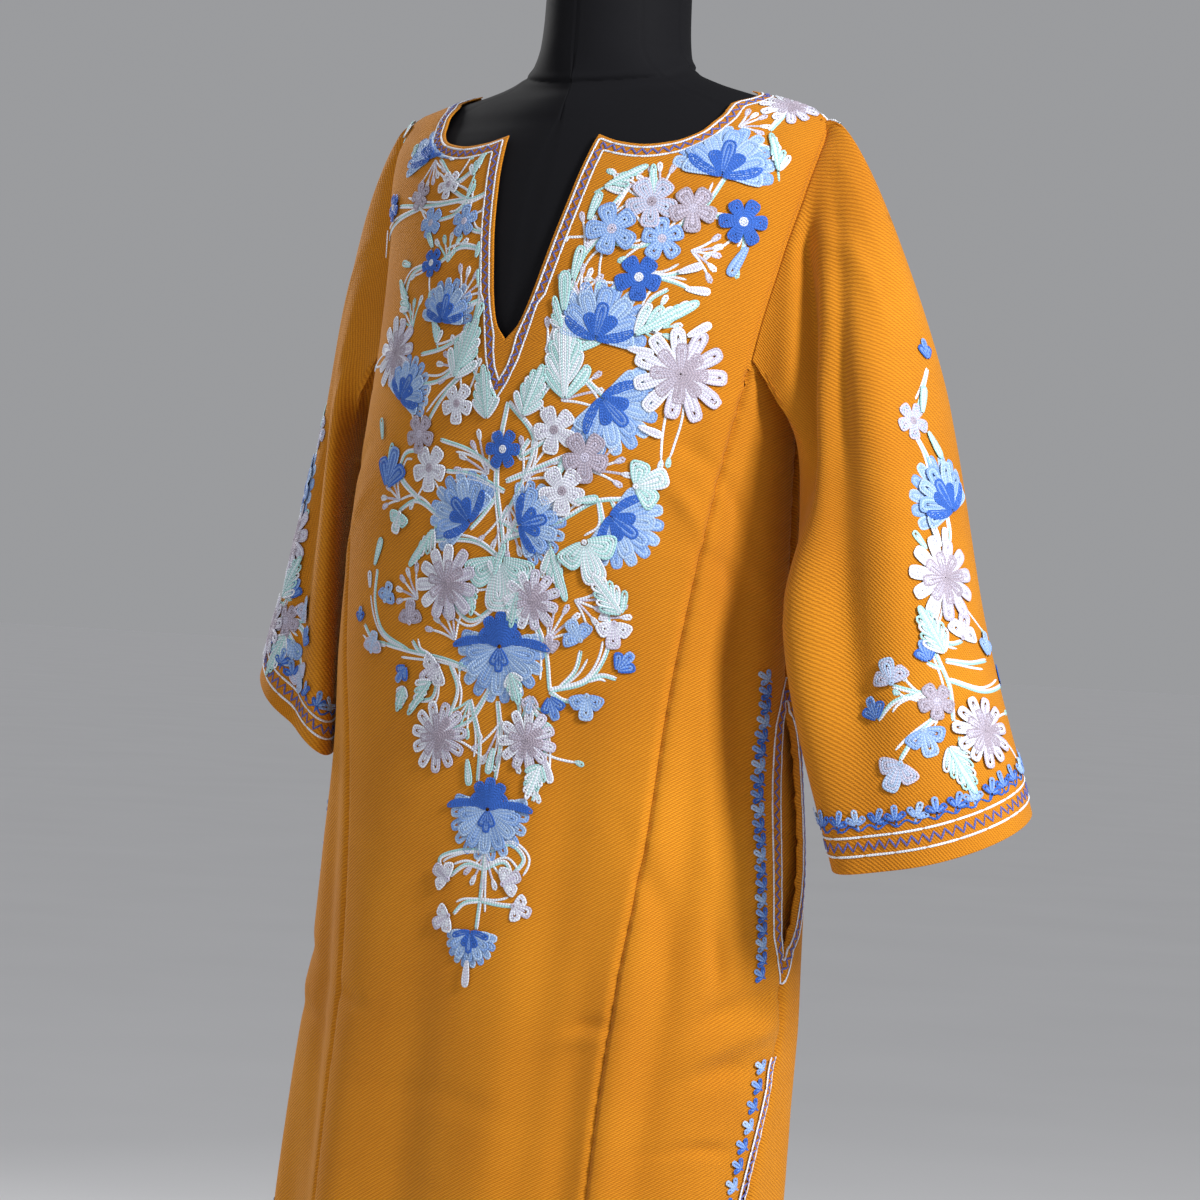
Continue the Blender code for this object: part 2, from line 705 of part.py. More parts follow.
def pocket(name, flip, collection):
    """The pocket's cloth behind the opening in the side seam: a shallow dish inside the body."""
    top, bottom = POCKET_TOP_Z + POCKET_MARGIN_Z, POCKET_BOTTOM_Z - POCKET_MARGIN_Z
    front = POCKET_OPEN_FRONT + POCKET_MARGIN_TURN
    back = -POCKET_OPEN_BACK - POCKET_MARGIN_TURN
    lie = WALL + POCKET_CLEARANCE
    outside, inside = [], []
    for k in range(POCKET_ROWS + 1):
        v = k / POCKET_ROWS
        z = top + (bottom - top) * v
        rows = [], []
        for i in range(POCKET_COLUMNS + 1):
            u = i / POCKET_COLUMNS
            turn = front + (back - front) * u
            place = (turn, z) if not flip else (180 - turn, z)
            dish = math.sin(math.pi * u) * math.sin(math.pi * v)
            point, out = body_point(*place), body_normal(*place)
            rows[0].append(point - out * (lie + POCKET_DEPTH * dish))
            rows[1].append(point - out * (lie + WALL + POCKET_DEPTH * dish))
        outside.append(rows[0])
        inside.append(rows[1])
    bm = bmesh.new()
    outer = [[bm.verts.new(p) for p in row] for row in outside]
    inner = [[bm.verts.new(p) for p in row] for row in inside]
    grid_faces(bm, outer)
    grid_faces(bm, inner)
    for line in (lambda g: g[0], lambda g: g[-1]):
        strip_faces(bm, line(outer), line(inner))
    for column in (0, -1):
        strip_faces(bm, [r[column] for r in outer], [r[column] for r in inner])
    bmesh.ops.recalc_face_normals(bm, faces=bm.faces)
    return new_object(name, bm, CLOTH, collection)


def form_body(collection):
    """The limbless torso with its neck, as rings closed at the top and bottom."""
    bm = bmesh.new()
    heights = form_heights()
    rings = []
    for z in heights:
        rings.append(
            [
                bm.verts.new(on_section(FORM, 360 * i / FORM_SIDES, z))
                for i in range(FORM_SIDES)
            ]
        )
    grid_faces(bm, rings, closed=True)
    bm.faces.new(rings[0])
    bm.faces.new(rings[-1])
    bmesh.ops.recalc_face_normals(bm, faces=bm.faces)
    return new_object("form_body", bm, FORM_COVER, collection)


def form_heights():
    """The form's ring heights: each section of its table, and one between where they are far."""
    heights = []
    for above, below in zip(FORM, FORM[1:]):
        heights.append(above.z)
        if above.z - below.z > 0.045:
            heights.append((above.z + below.z) / 2)
    return heights + [FORM[-1].z]


def turned(name, profile, steps, finish, collection):
    """A turned piece from its profile of radius and height, from the top to the bottom."""
    mesh = bpy.data.meshes.new(name)
    edges = [(i, i + 1) for i in range(len(profile) - 1)]
    mesh.from_pydata([(radius, 0, z) for radius, z in profile], edges, [])
    obj = bpy.data.objects.new(name, mesh)
    collection.objects.link(obj)
    screw = obj.modifiers.new("turn", "SCREW")
    screw.steps = screw.render_steps = steps
    screw.use_merge_vertices = True
    screw.merge_threshold = 0.0001
    material = bpy.data.materials.new(name)
    material.use_nodes = True
    shader = material.node_tree.nodes["Principled BSDF"]
    shader.inputs["Base Color"].default_value = (*finish.colour, 1)
    shader.inputs["Roughness"].default_value = finish.roughness
    shader.inputs["Metallic"].default_value = finish.metallic
    mesh.materials.append(material)
    return obj


def stand(collection):
    """The neck's cap, the socket under the form, the pole, its collar and the base."""
    neck_top, form_bottom = FORM[0].z, FORM[-1].z
    cap_z = neck_top + SEAM_GAP
    cap_radius = FORM[0].half_width - 0.001
    turned(
        "form_neck_cap",
        [
            (0, cap_z + NECK_CAP_HEIGHT),
            (cap_radius * 0.80, cap_z + NECK_CAP_HEIGHT * 0.92),
            (cap_radius * 0.95, cap_z + NECK_CAP_HEIGHT * 0.60),
            (cap_radius, cap_z + NECK_CAP_HEIGHT * 0.20),
            (cap_radius, cap_z),
            (0, cap_z),
        ],
        32,
        FORM_COVER,
        collection,
    )
    socket_top = form_bottom - SEAM_GAP
    turned(
        "stand_socket",
        [
            (0, socket_top),
            (SOCKET_RADIUS, socket_top),
            (SOCKET_RADIUS, socket_top - SOCKET_HEIGHT * 0.8),
            (SOCKET_RADIUS * 0.85, socket_top - SOCKET_HEIGHT),
            (0, socket_top - SOCKET_HEIGHT),
        ],
        24,
        STEEL,
        collection,
    )
    collar_top = BASE_HEIGHT + COLLAR_HEIGHT
    turned(
        "stand_pole",
        [
            (0, socket_top - SOCKET_HEIGHT - SEAM_GAP),
            (POLE_RADIUS, socket_top - SOCKET_HEIGHT - SEAM_GAP),
            (POLE_RADIUS, collar_top + SEAM_GAP),
            (0, collar_top + SEAM_GAP),
        ],
        20,
        STEEL,
        collection,
    )
    turned(
        "stand_base",
        [
            (0, collar_top),
            (COLLAR_RADIUS * 0.7, collar_top),
            (COLLAR_RADIUS * 0.8, collar_top - COLLAR_HEIGHT * 0.15),
            (COLLAR_RADIUS, BASE_HEIGHT + 0.002),
            (COLLAR_RADIUS * 1.2, BASE_HEIGHT),
            (BASE_RADIUS - BASE_EDGE, BASE_HEIGHT),
            (BASE_RADIUS - BASE_EDGE * 0.3, BASE_HEIGHT - BASE_EDGE * 0.3),
            (BASE_RADIUS, BASE_HEIGHT - BASE_EDGE),
            (BASE_RADIUS, 0.0015),
            (BASE_RADIUS - 0.0015, 0),
            (0, 0),
        ],
        48,
        STEEL,
        collection,
    )


def main():
    for obj in list(bpy.data.objects):
        bpy.data.objects.remove(obj, do_unlink=True)
    collection = bpy.data.collections.new("pheran_on_dress_form")
    bpy.context.scene.collection.children.link(collection)

    def as_is(places):
        return places

    slit_row = len(ARMHOLE_ROWS) - 1
    wall_object(
        "front_centre",
        [front_centre_patch(as_is), front_centre_patch(mirrored)],
        slit_row,
        CLOTH,
        collection,
    )
    wall_object(
        "back_panel", [back_patch(as_is), back_patch(mirrored)], 0, CLOTH, collection
    )
    for name, flip in (("left", as_is), ("right", mirrored)):
        patch = side_panel_patch(flip)
        rows = len(patch.outside) - 1
        wall_object(f"side_front_{name}", [patch], rows, CLOTH, collection)
        pocket(f"pocket_{name}", name == "right", collection)
    sleeve("sleeve_left", LEFT_SLEEVE, LEFT_SLEEVE_FOLDS, 1, collection)
    sleeve("sleeve_right", RIGHT_SLEEVE, RIGHT_SLEEVE_FOLDS, -1, collection)
    form_body(collection)
    stand(collection)


main()
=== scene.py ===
# %% [markdown]
# # A pheran on a dress form
# A pheran is the loose wool tunic of Kashmir. This one is a mustard twill with a slit neck, wide
# sleeves, pockets in its side seams and vents at its hem, and its front and sleeves carry chain
# stitch flowers in blue, lilac and mint. It stands on a black limbless dress form. The packed
# model gives the solids, and this file makes the cloth, the stitches and the light around them.

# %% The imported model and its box
import math
import random
from collections import namedtuple

import bmesh
import bpy
import numpy as np
from mathutils import Matrix, Vector
from mathutils.bvhtree import BVHTree


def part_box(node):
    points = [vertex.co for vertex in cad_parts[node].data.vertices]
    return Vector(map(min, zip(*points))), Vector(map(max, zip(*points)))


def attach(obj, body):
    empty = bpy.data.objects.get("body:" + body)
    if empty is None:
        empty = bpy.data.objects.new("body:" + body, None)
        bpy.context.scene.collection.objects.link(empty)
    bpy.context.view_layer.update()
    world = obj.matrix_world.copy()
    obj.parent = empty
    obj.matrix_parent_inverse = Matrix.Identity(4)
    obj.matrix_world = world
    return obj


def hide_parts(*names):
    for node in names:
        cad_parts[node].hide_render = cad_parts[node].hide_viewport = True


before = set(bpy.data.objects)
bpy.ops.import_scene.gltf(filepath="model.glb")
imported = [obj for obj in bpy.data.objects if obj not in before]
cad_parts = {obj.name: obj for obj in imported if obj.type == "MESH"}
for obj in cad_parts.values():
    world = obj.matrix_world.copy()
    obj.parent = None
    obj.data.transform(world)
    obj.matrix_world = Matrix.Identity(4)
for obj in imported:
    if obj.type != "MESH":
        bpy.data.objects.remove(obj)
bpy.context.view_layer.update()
bpy.ops.object.select_all(action="DESELECT")

# %% [markdown]
# ## The shape of the body
# The maker's pattern is a loose tube that is cut in at the waist and flares to the hem. It could
# be sculpted, but a few level sections are easier to check: each has a middle, half its width,
# where its front, side and back lie, and how square it is. They are the solids' own sections, so
# the cloth made here lies where the solids are. A place on the cloth is a turn in degrees, from
# the wearer's left (0) to the front (90), and a height.

# %% Level sections of the tunic and of the form
WALL = 0.0016
HEM_Z, SHOULDER_Z, NECK_POINT_Z, UNDERARM_Z = 0.27, 1.368, 1.392, 1.13
POCKET_TOP_Z, POCKET_BOTTOM_Z, VENT_TOP_Z = 0.915, 0.735, 0.648

SECTION_COLUMNS = ("z", "middle", "half_width", "front", "side", "back", "squareness")
TUNIC = np.array([
    (1.3920, 0.000, 0.1265, -0.0660, 0.000, 0.0600, 1.20),
    (1.3830, 0.000, 0.1610, -0.0715, 0.000, 0.0660, 1.25),
    (1.3750, 0.000, 0.1845, -0.0760, 0.000, 0.0710, 1.32),
    (1.3680, 0.000, 0.1940, -0.0790, 0.000, 0.0740, 1.40),
    (1.3540, 0.000, 0.1980, -0.0850, 0.000, 0.0800, 1.65),
    (1.3420, 0.000, 0.1990, -0.0920, 0.000, 0.0850, 1.85),
    (1.3100, 0.000, 0.1970, -0.1060, 0.000, 0.0960, 2.00),
    (1.2600, -0.001, 0.1910, -0.1200, 0.000, 0.1040, 2.00),
    (1.2000, -0.004, 0.1880, -0.1280, 0.000, 0.1080, 2.05),
    (1.1300, -0.008, 0.1920, -0.1320, 0.000, 0.1060, 2.10),
    (1.0500, -0.013, 0.1980, -0.1310, -0.001, 0.1010, 2.15),
    (0.9500, -0.015, 0.2030, -0.1290, -0.004, 0.1000, 2.15),
    (0.8700, -0.012, 0.2060, -0.1300, -0.006, 0.1080, 2.10),
    (0.7800, -0.009, 0.2100, -0.1370, -0.008, 0.1180, 2.05),
    (0.7000, -0.009, 0.2115, -0.1450, -0.011, 0.1150, 2.00),
    (0.6000, -0.014, 0.2130, -0.1490, -0.014, 0.1060, 2.00),
    (0.4500, -0.021, 0.2160, -0.1520, -0.017, 0.0980, 2.00),
    (0.2700, -0.024, 0.2220, -0.1560, -0.020, 0.0960, 2.00),
])[::-1]
FORM = np.array([
    (1.4950, 0.0, 0.0560, -0.0590, 0.000, 0.0570, 2.00),
    (1.4500, 0.0, 0.0570, -0.0600, 0.000, 0.0570, 2.00),
    (1.4250, 0.0, 0.0595, -0.0610, 0.000, 0.0570, 2.00),
    (1.4080, 0.0, 0.0720, -0.0620, 0.000, 0.0560, 1.70),
    (1.3980, 0.0, 0.0950, -0.0630, 0.000, 0.0560, 1.35),
    (1.3893, 0.0, 0.1250, -0.0640, 0.000, 0.0570, 1.20),
    (1.3800, 0.0, 0.1600, -0.0690, 0.000, 0.0630, 1.24),
    (1.3700, 0.0, 0.1800, -0.0735, 0.000, 0.0685, 1.32),
    (1.3620, 0.0, 0.1860, -0.0765, 0.000, 0.0710, 1.42),
    (1.3540, 0.0, 0.1890, -0.0805, 0.000, 0.0760, 1.58),
    (1.3420, 0.0, 0.1900, -0.0870, 0.000, 0.0805, 1.78),
    (1.3100, 0.0, 0.1880, -0.1010, 0.000, 0.0910, 1.95),
    (1.2600, 0.0, 0.1780, -0.1150, 0.000, 0.0990, 1.95),
    (1.2000, 0.0, 0.1700, -0.1220, 0.000, 0.1020, 2.00),
    (1.1300, 0.0, 0.1650, -0.1230, 0.000, 0.0990, 2.00),
    (1.0500, 0.0, 0.1500, -0.1120, 0.000, 0.0920, 2.00),
    (0.9500, 0.0, 0.1400, -0.0990, 0.000, 0.0900, 2.00),
    (0.8700, 0.0, 0.1620, -0.1080, -0.002, 0.0990, 2.00),
    (0.7800, 0.0, 0.1800, -0.1180, -0.004, 0.1080, 2.00),
    (0.7100, 0.0, 0.1740, -0.1120, -0.004, 0.1030, 2.00),
])[::-1]


def hermite(a, b, leave, arrive, t):
    """The smooth curve from a to b that leaves and arrives as told."""
    return (
        a * (1 + 2 * t) * (1 - t) ** 2
        + b * t * t * (3 - 2 * t)
        + leave * t * (1 - t) ** 2
        + arrive * t * t * (t - 1)
    )


def smooth(known, values, at):
    """A smooth curve through the values at the known places (rising), without overshoot."""
    known, values, at = (np.asarray(x, float) for x in (known, values, at))
    step = np.diff(known)
    rise = np.diff(values) / step
    slope = np.zeros(len(known))
    slope[0], slope[-1] = rise[0], rise[-1]
    product = rise[:-1] * rise[1:]
    total = np.where(rise[:-1] + rise[1:] == 0, 1, rise[:-1] + rise[1:])
    slope[1:-1] = np.where(product > 0, 2 * product / total, 0)
    at = np.clip(at, known[0], known[-1])
    i = np.clip(np.searchsorted(known, at, side="right") - 1, 0, len(step) - 1)
    t = (at - known[i]) / step[i]
    return hermite(values[i], values[i + 1], slope[i] * step[i], slope[i + 1] * step[i], t)


def eased(x):
    x = np.clip(x, 0, 1)
    return x * x * (3 - 2 * x)


def section_points(table, turn, z, out=0.0):
    """Points of the level sections, moved out by the folds' height."""
    middle, half_width, front, side, back, square = (
        smooth(table[:, 0], table[:, c], z) for c in range(1, len(SECTION_COLUMNS))
    )
    c, s = np.cos(np.radians(turn)), np.sin(np.radians(turn))
    reach = np.where(s > 0, side - front, back - side)
    power = 2 / square
    x = middle + half_width * np.sign(c) * np.abs(c) ** power
    y = side - reach * np.sign(s) * np.abs(s) ** power
    nx, ny = c / half_width, -s / reach
    length = np.hypot(nx, ny)
    return np.stack([x + nx / length * out, y + ny / length * out, z + 0 * x], -1)


# %% [markdown]
# ## How the cloth folds
# Wool twill falls in long soft folds from the bust and the hips, and pulls into short creases
# where it catches on the form. A cloth simulation would find its own folds and lose those of
# this tunic, so each one is set: the long folds are the solids' own, and the short creases are
# troughs and ridges that lie at an angle, uneven along their length. The back has its own.

# %% Long folds and short creases of the body
Fold = namedtuple("Fold", "turn width top bottom drift height")
BODY_FOLDS = [
    Fold(47, 7, 0.93, 0.10, 6, 0.0065),
    Fold(60, 5, 0.86, 0.10, 2, -0.0050),
    Fold(26, 9, 0.66, 0.10, 4, 0.0070),
    Fold(76, 9, 0.78, 0.10, -2, 0.0045),
    Fold(101, 9, 0.90, 0.10, -4, -0.0055),
    Fold(120, 9, 0.84, 0.10, -2, 0.0065),
    Fold(140, 8, 0.74, 0.10, 4, -0.0050),
    Fold(157, 9, 0.80, 0.10, -3, 0.0070),
    Fold(24, 9, 1.22, 0.78, -4, -0.0090),
    Fold(156, 9, 1.22, 0.78, 4, -0.0070),
    Fold(33, 6, 1.00, 0.45, 16, -0.0065),
    Fold(66, 7, 1.00, 0.42, 6, -0.0045),
    Fold(147, 6, 1.00, 0.45, -16, -0.0050),
    Fold(205, 9, 0.98, 0.10, 4, 0.0090),
    Fold(228, 7, 1.10, 0.10, 6, -0.0085),
    Fold(252, 7, 1.02, 0.10, -3, 0.0105),
    Fold(276, 7, 1.12, 0.10, 2, -0.0085),
    Fold(300, 7, 1.04, 0.10, 3, 0.0105),
    Fold(326, 7, 1.08, 0.10, -5, -0.0080),
    Fold(344, 9, 0.82, 0.10, 3, 0.0070),
]
# Creases: middle, angle from level (rising towards the wearer's right), half length and half
# width in metres, and height.
Crease = namedtuple("Crease", "turn z angle half_length half_width height")
METRES_PER_DEGREE = 0.0031
CREASES = [
    Crease(18, 0.694, -16, 0.050, 0.009, -0.0050),
    Crease(16, 0.670, -14, 0.050, 0.010, 0.0050),
    Crease(20, 0.645, -6, 0.045, 0.010, -0.0042),
    Crease(27, 0.728, 82, 0.038, 0.007, -0.0036),
    Crease(28, 0.584, -2, 0.036, 0.005, -0.0034),
    Crease(59, 0.672, -14, 0.018, 0.006, -0.0034),
    Crease(60, 0.662, -16, 0.020, 0.006, 0.0030),
    Crease(44, 0.760, 72, 0.050, 0.010, -0.0036),
    Crease(24, 1.163, -24, 0.026, 0.0026, -0.0022),
    Crease(38, 1.130, -62, 0.060, 0.012, -0.0022),
    Crease(156, 1.163, 24, 0.026, 0.0026, -0.0022),
    Crease(30, 1.090, 38, 0.050, 0.008, -0.0028),
    Crease(38, 1.060, 48, 0.055, 0.008, 0.0024),
    Crease(26, 1.020, 30, 0.045, 0.009, -0.0026),
    Crease(150, 0.700, 16, 0.045, 0.009, -0.0020),
    Crease(152, 0.674, 12, 0.045, 0.010, 0.0012),
    Crease(122, 0.676, 14, 0.018, 0.006, -0.0028),
    Crease(146, 0.655, 10, 0.050, 0.007, -0.0018),
    Crease(150, 1.080, -40, 0.050, 0.008, -0.0020),
    Crease(142, 1.045, -48, 0.050, 0.008, 0.0014),
    Crease(92, 0.610, 4, 0.060, 0.010, -0.0012),
    Crease(228, 1.020, 22, 0.060, 0.008, -0.0022),
    Crease(236, 0.985, 16, 0.060, 0.008, 0.0020),
    Crease(306, 1.010, -20, 0.060, 0.008, -0.0022),
    Crease(300, 0.975, -14, 0.060, 0.008, 0.0018),
    Crease(268, 0.955, 3, 0.080, 0.009, -0.0020),
    Crease(255, 0.700, 14, 0.055, 0.008, -0.0018),
    Crease(290, 0.685, -12, 0.055, 0.008, -0.0018),
    Crease(246, 1.230, 55, 0.060, 0.010, 0.0014),
    Crease(294, 1.230, -55, 0.060, 0.010, 0.0014),
]


def cloth_height(turn, z):
    """How far folds and creases move the body's cloth out."""
    total = np.zeros(np.broadcast(turn, z).shape)
    for fold in BODY_FOLDS:
        down = (fold.top - z) / (fold.top - fold.bottom)
        away = (turn - fold.turn - fold.drift * down + 180) % 360 - 180
        strength = eased(down * 2.2) * eased((z - fold.bottom) / 0.12)
        total += fold.height * strength * np.exp(-0.5 * (away / fold.width * 1.6) ** 2)
    for crease in CREASES:
        across = ((turn - crease.turn + 180) % 360 - 180) * METRES_PER_DEGREE
        up = z - crease.z
        a = math.radians(crease.angle)
        along = across * math.cos(a) + up * math.sin(a)
        side = up * math.cos(a) - across * math.sin(a) + along * along * 2.5
        uneven = 1 + 0.35 * np.sin(along * 90 + crease.turn)
        total += crease.height * uneven * np.exp(
            -((along / crease.half_length) ** 2) - (side / crease.half_width) ** 2
        )
    return total


def body(turn, z):
    """Points on the outside of the tunic's body."""
    turn, z = np.broadcast_arrays(np.asarray(turn, float), np.asarray(z, float))
    return section_points(TUNIC, turn, z, cloth_height(turn, z))


def unit(v):
    return v / np.maximum(np.linalg.norm(v, axis=-1, keepdims=True), 1e-12)


print("folds", len(BODY_FOLDS), "creases", len(CREASES))

# %% [markdown]
# ## Where the pattern is cut
# The front has three pieces, a centre and two sides, joined by long seams that start in the
# armholes. The back is one piece. Below the pocket the side seam drifts to the front, and from
# the vent's top down its two edges hang free. These tables give the seams as turns, and the
# neckline and slit as distances from the centre.

# %% Seams, neckline and slit
FRONT_SEAM = np.array([
    (0.270, 57.0), (0.530, 55.0), (0.650, 54.0), (0.875, 46.0), (1.000, 38.0), (1.100, 29.0),
    (1.180, 22.0), (1.210, 20.0), (1.250, 17.0), (1.300, 13.0), (1.340, 8.0), (1.368, 0.0),
])
BACK_ARMHOLE = np.array([
    (1.130, 0.0), (1.160, -9.0), (1.200, -15.0), (1.250, -16.0), (1.300, -13.5),
    (1.340, -9.0), (1.368, 0.0),
])
SIDE_SEAM = np.array([
    (0.270, 15.0), (0.530, 9.0), (0.648, 1.0), (0.700, 0.0), (1.130, 0.0),
])
POCKET_OPEN_FRONT, POCKET_OPEN_BACK, VENT_OPEN = 2.5, 12.0, 2.4
NECKLINE = np.array([
    (0.0418, 1.3500), (0.0600, 1.3445), (0.0820, 1.3420), (0.1030, 1.3450),
    (0.1180, 1.3530), (0.1255, 1.3650), (0.1275, 1.3790), (0.1265, 1.3920),
])
BACK_NECKLINE = np.array([
    (0.0000, 1.3745), (0.0320, 1.3748), (0.0620, 1.3756), (0.0880, 1.3770),
    (0.1080, 1.3795), (0.1200, 1.3830), (0.1255, 1.3872), (0.1265, 1.3920),
])
SLIT = np.array([
    (0.0000, 1.188), (0.0100, 1.200), (0.0168, 1.220), (0.0232, 1.248),
    (0.0305, 1.283), (0.0370, 1.320), (0.0418, 1.350),
])
SHOULDER_COLUMNS, BACK_UNDERARM_Z = 4, 1.175
# Columns and rows of points on each half panel.
FRONT_GRID, BACK_GRID, SIDE_GRID = (60, 270), (52, 210), (34, 260)
# Row heights at a panel's inner and outer edge, from the top down.
ARMHOLE_ROWS = np.array([
    (1.350, 1.368), (1.341, 1.362), (1.326, 1.352), (1.307, 1.337), (1.286, 1.318),
    (1.263, 1.293), (1.240, 1.265), (1.218, 1.235), (1.200, 1.207), (1.188, 1.180),
])
LOWER_ROWS = np.array([
    (1.150, 1.110), (1.100, 1.062), (1.040, 1.010), (0.972, 0.960), (0.915, 0.915),
    (0.735, 0.735), (0.692, 0.692), (0.648, 0.648), (0.540, 0.540), (0.270, 0.270),
])


def seam_turn(table, z):
    return smooth(table[:, 0], table[:, 1], z)


def turn_at(x, z):
    """The turn where the body's section is this far from its middle."""
    half_width, square = (
        smooth(TUNIC[:, 0], TUNIC[:, SECTION_COLUMNS.index(column)], z)
        for column in ("half_width", "squareness")
    )
    return np.degrees(np.arccos(np.minimum(1.0, x / half_width) ** (square / 2)))


def slit_turn(z):
    x = smooth(SLIT[:, 1], SLIT[:, 0], z)
    return np.where(z <= SLIT[0, 1] + 1e-9, 90.0, turn_at(x, z))


def side_turn(z, panel):
    """The side seam for the front or back panel: they part at the pocket and the vent."""
    turn = seam_turn(SIDE_SEAM, z)
    pocket = np.clip((POCKET_TOP_Z - z) / (POCKET_TOP_Z - POCKET_BOTTOM_Z), 0, 1)
    parted = np.sin(np.pi * pocket) ** 0.7 * ((pocket > 0) & (pocket < 1))
    turn = turn + parted * (POCKET_OPEN_FRONT if panel == "front" else -POCKET_OPEN_BACK)
    vent = eased((VENT_TOP_Z - z) / 0.25)
    return turn + vent * (VENT_OPEN if panel == "front" else -VENT_OPEN / 2)


def spaced(count, close=(), near=0.0):
    """Steps from 0 to 1, with extra ones beside the ends named in close."""
    steps = list(np.linspace(0, 1, count))
    for end in close:
        steps += [abs(end - near * k) for k in (0.12, 0.3, 0.6)]
    return np.unique(np.round(steps, 6))


def half_panel(neckline, facing, rows, start, end, settle, count_u, count_v):
    """Turns and heights of a half panel, rows down and columns out, as the solids have them."""
    u = spaced(count_u, (0, 1), 1.2 / count_u)
    v = spaced(count_v, (0, 1), 1.2 / count_v)
    neck_turn = facing * turn_at(neckline[:, 0], neckline[:, 1])
    fall = (NECK_POINT_Z - SHOULDER_Z) / SHOULDER_COLUMNS
    top_turn = np.r_[neck_turn, np.zeros(SHOULDER_COLUMNS)]
    top_z = np.r_[neckline[:, 1], NECK_POINT_Z - fall * np.arange(1, SHOULDER_COLUMNS + 1)]
    knots = np.linspace(0, 1, len(top_turn))
    top_turn, top_z = smooth(knots, top_turn, u), smooth(knots, top_z, u)
    lengths = np.r_[0, np.cumsum(-np.diff(rows[:, 1]) + 1e-6)]
    row = np.interp(v * lengths[-1], lengths, np.arange(len(rows)))
    z_in = np.interp(row, np.arange(len(rows)), rows[:, 0])
    z_out = np.interp(row, np.arange(len(rows)), rows[:, 1])
    hold = np.maximum(0.0, 1 - row / settle) ** 1.5
    t_in, t_out = start(z_in, row), end(z_out, row)
    turn = t_in[:, None] + (t_out - t_in)[:, None] * u
    z = z_in[:, None] + (z_out - z_in)[:, None] * u
    turn = turn + hold[:, None] * (top_turn - (t_in[0] + (t_out[0] - t_in[0]) * u))
    z = z + hold[:, None] * (top_z - (z_in[0] + (z_out[0] - z_in[0]) * u))
    return turn, z


def front_places():
    rows = np.r_[ARMHOLE_ROWS, LOWER_ROWS]
    return half_panel(
        NECKLINE, 1, rows, lambda z, row: slit_turn(z), lambda z, row: seam_turn(FRONT_SEAM, z),
        len(ARMHOLE_ROWS) - 1, *FRONT_GRID,
    )


def back_places():
    rows = np.r_[ARMHOLE_ROWS, [(BACK_UNDERARM_Z, UNDERARM_Z)], LOWER_ROWS]
    armhole = len(ARMHOLE_ROWS)
    rows[: armhole + 1, 0] = np.linspace(BACK_NECKLINE[0, 1], BACK_UNDERARM_Z, armhole + 1)
    return half_panel(
        BACK_NECKLINE, -1, rows, lambda z, row: np.full(len(z), -90.0),
        lambda z, row: np.where(
            row <= armhole, seam_turn(BACK_ARMHOLE, z), side_turn(z, "back")
        ),
        armhole, *BACK_GRID,
    )


def side_places():
    u, v = spaced(SIDE_GRID[0], (0, 1), 0.04), spaced(SIDE_GRID[1], (0, 1), 0.006)
    z_in = ARMHOLE_ROWS[-1, 1] + (HEM_Z - ARMHOLE_ROWS[-1, 1]) * v
    known = np.r_[ARMHOLE_ROWS[-1, 1], LOWER_ROWS[:, 1]][::-1]
    z_out = np.interp(z_in, known, np.r_[UNDERARM_Z, LOWER_ROWS[:, 1]][::-1])
    t_in, t_out = seam_turn(FRONT_SEAM, z_in), side_turn(z_out, "front")
    turn = t_in[:, None] + (t_out - t_in)[:, None] * u
    return turn, z_in[:, None] + (z_out - z_in)[:, None] * u


for name, places in (("front", front_places()), ("back", back_places()), ("side", side_places())):
    print(name, "half", places[0].shape)

# %% [markdown]
# ## Sewn shells
# A cut piece of cloth is a thin shell: its outside, its inside one wall thickness behind, and a
# rim all round. Solidify could add the thickness, but the shell needs its outside's own normals,
# so that neighbouring pieces meet cleanly, and edges that round off and dip where a seam pulls
# them in. Each piece gets a UV map in metres, so that the weave has its real size on it.

# %% Shells from grids of points
SEAM_DIP, SEAM_DIP_WIDTH, EDGE_ROUND = 0.0034, 0.0030, 0.0004
tunic_pieces = {}
outer_grids = []


def grid_normals(points, closed=False):
    """Normals of a grid whose rows run down and columns run round, pointing out of it."""
    if closed:
        across = np.roll(points, -1, 1) - np.roll(points, 1, 1)
    else:
        across = np.gradient(points, axis=1)
    return unit(np.cross(across, np.gradient(points, axis=0)))


def quads(grid, axis=-1, turned=False):
    """The four corners of each cell of a grid, or the same taken the other way round."""
    down, right = grid[1:, :-1], grid[:-1, 1:]
    if turned:
        down, right = right, down
    return np.stack([grid[:-1, :-1], down, grid[1:, 1:], right], axis)


def run_along(points, axis):
    """Distance along the grid's rows or columns, in metres."""
    steps = np.linalg.norm(np.diff(points, axis=axis), axis=-1)
    start = np.zeros_like(np.take(steps, [0], axis=axis))
    return np.concatenate([start, np.cumsum(steps, axis=axis)], axis=axis)


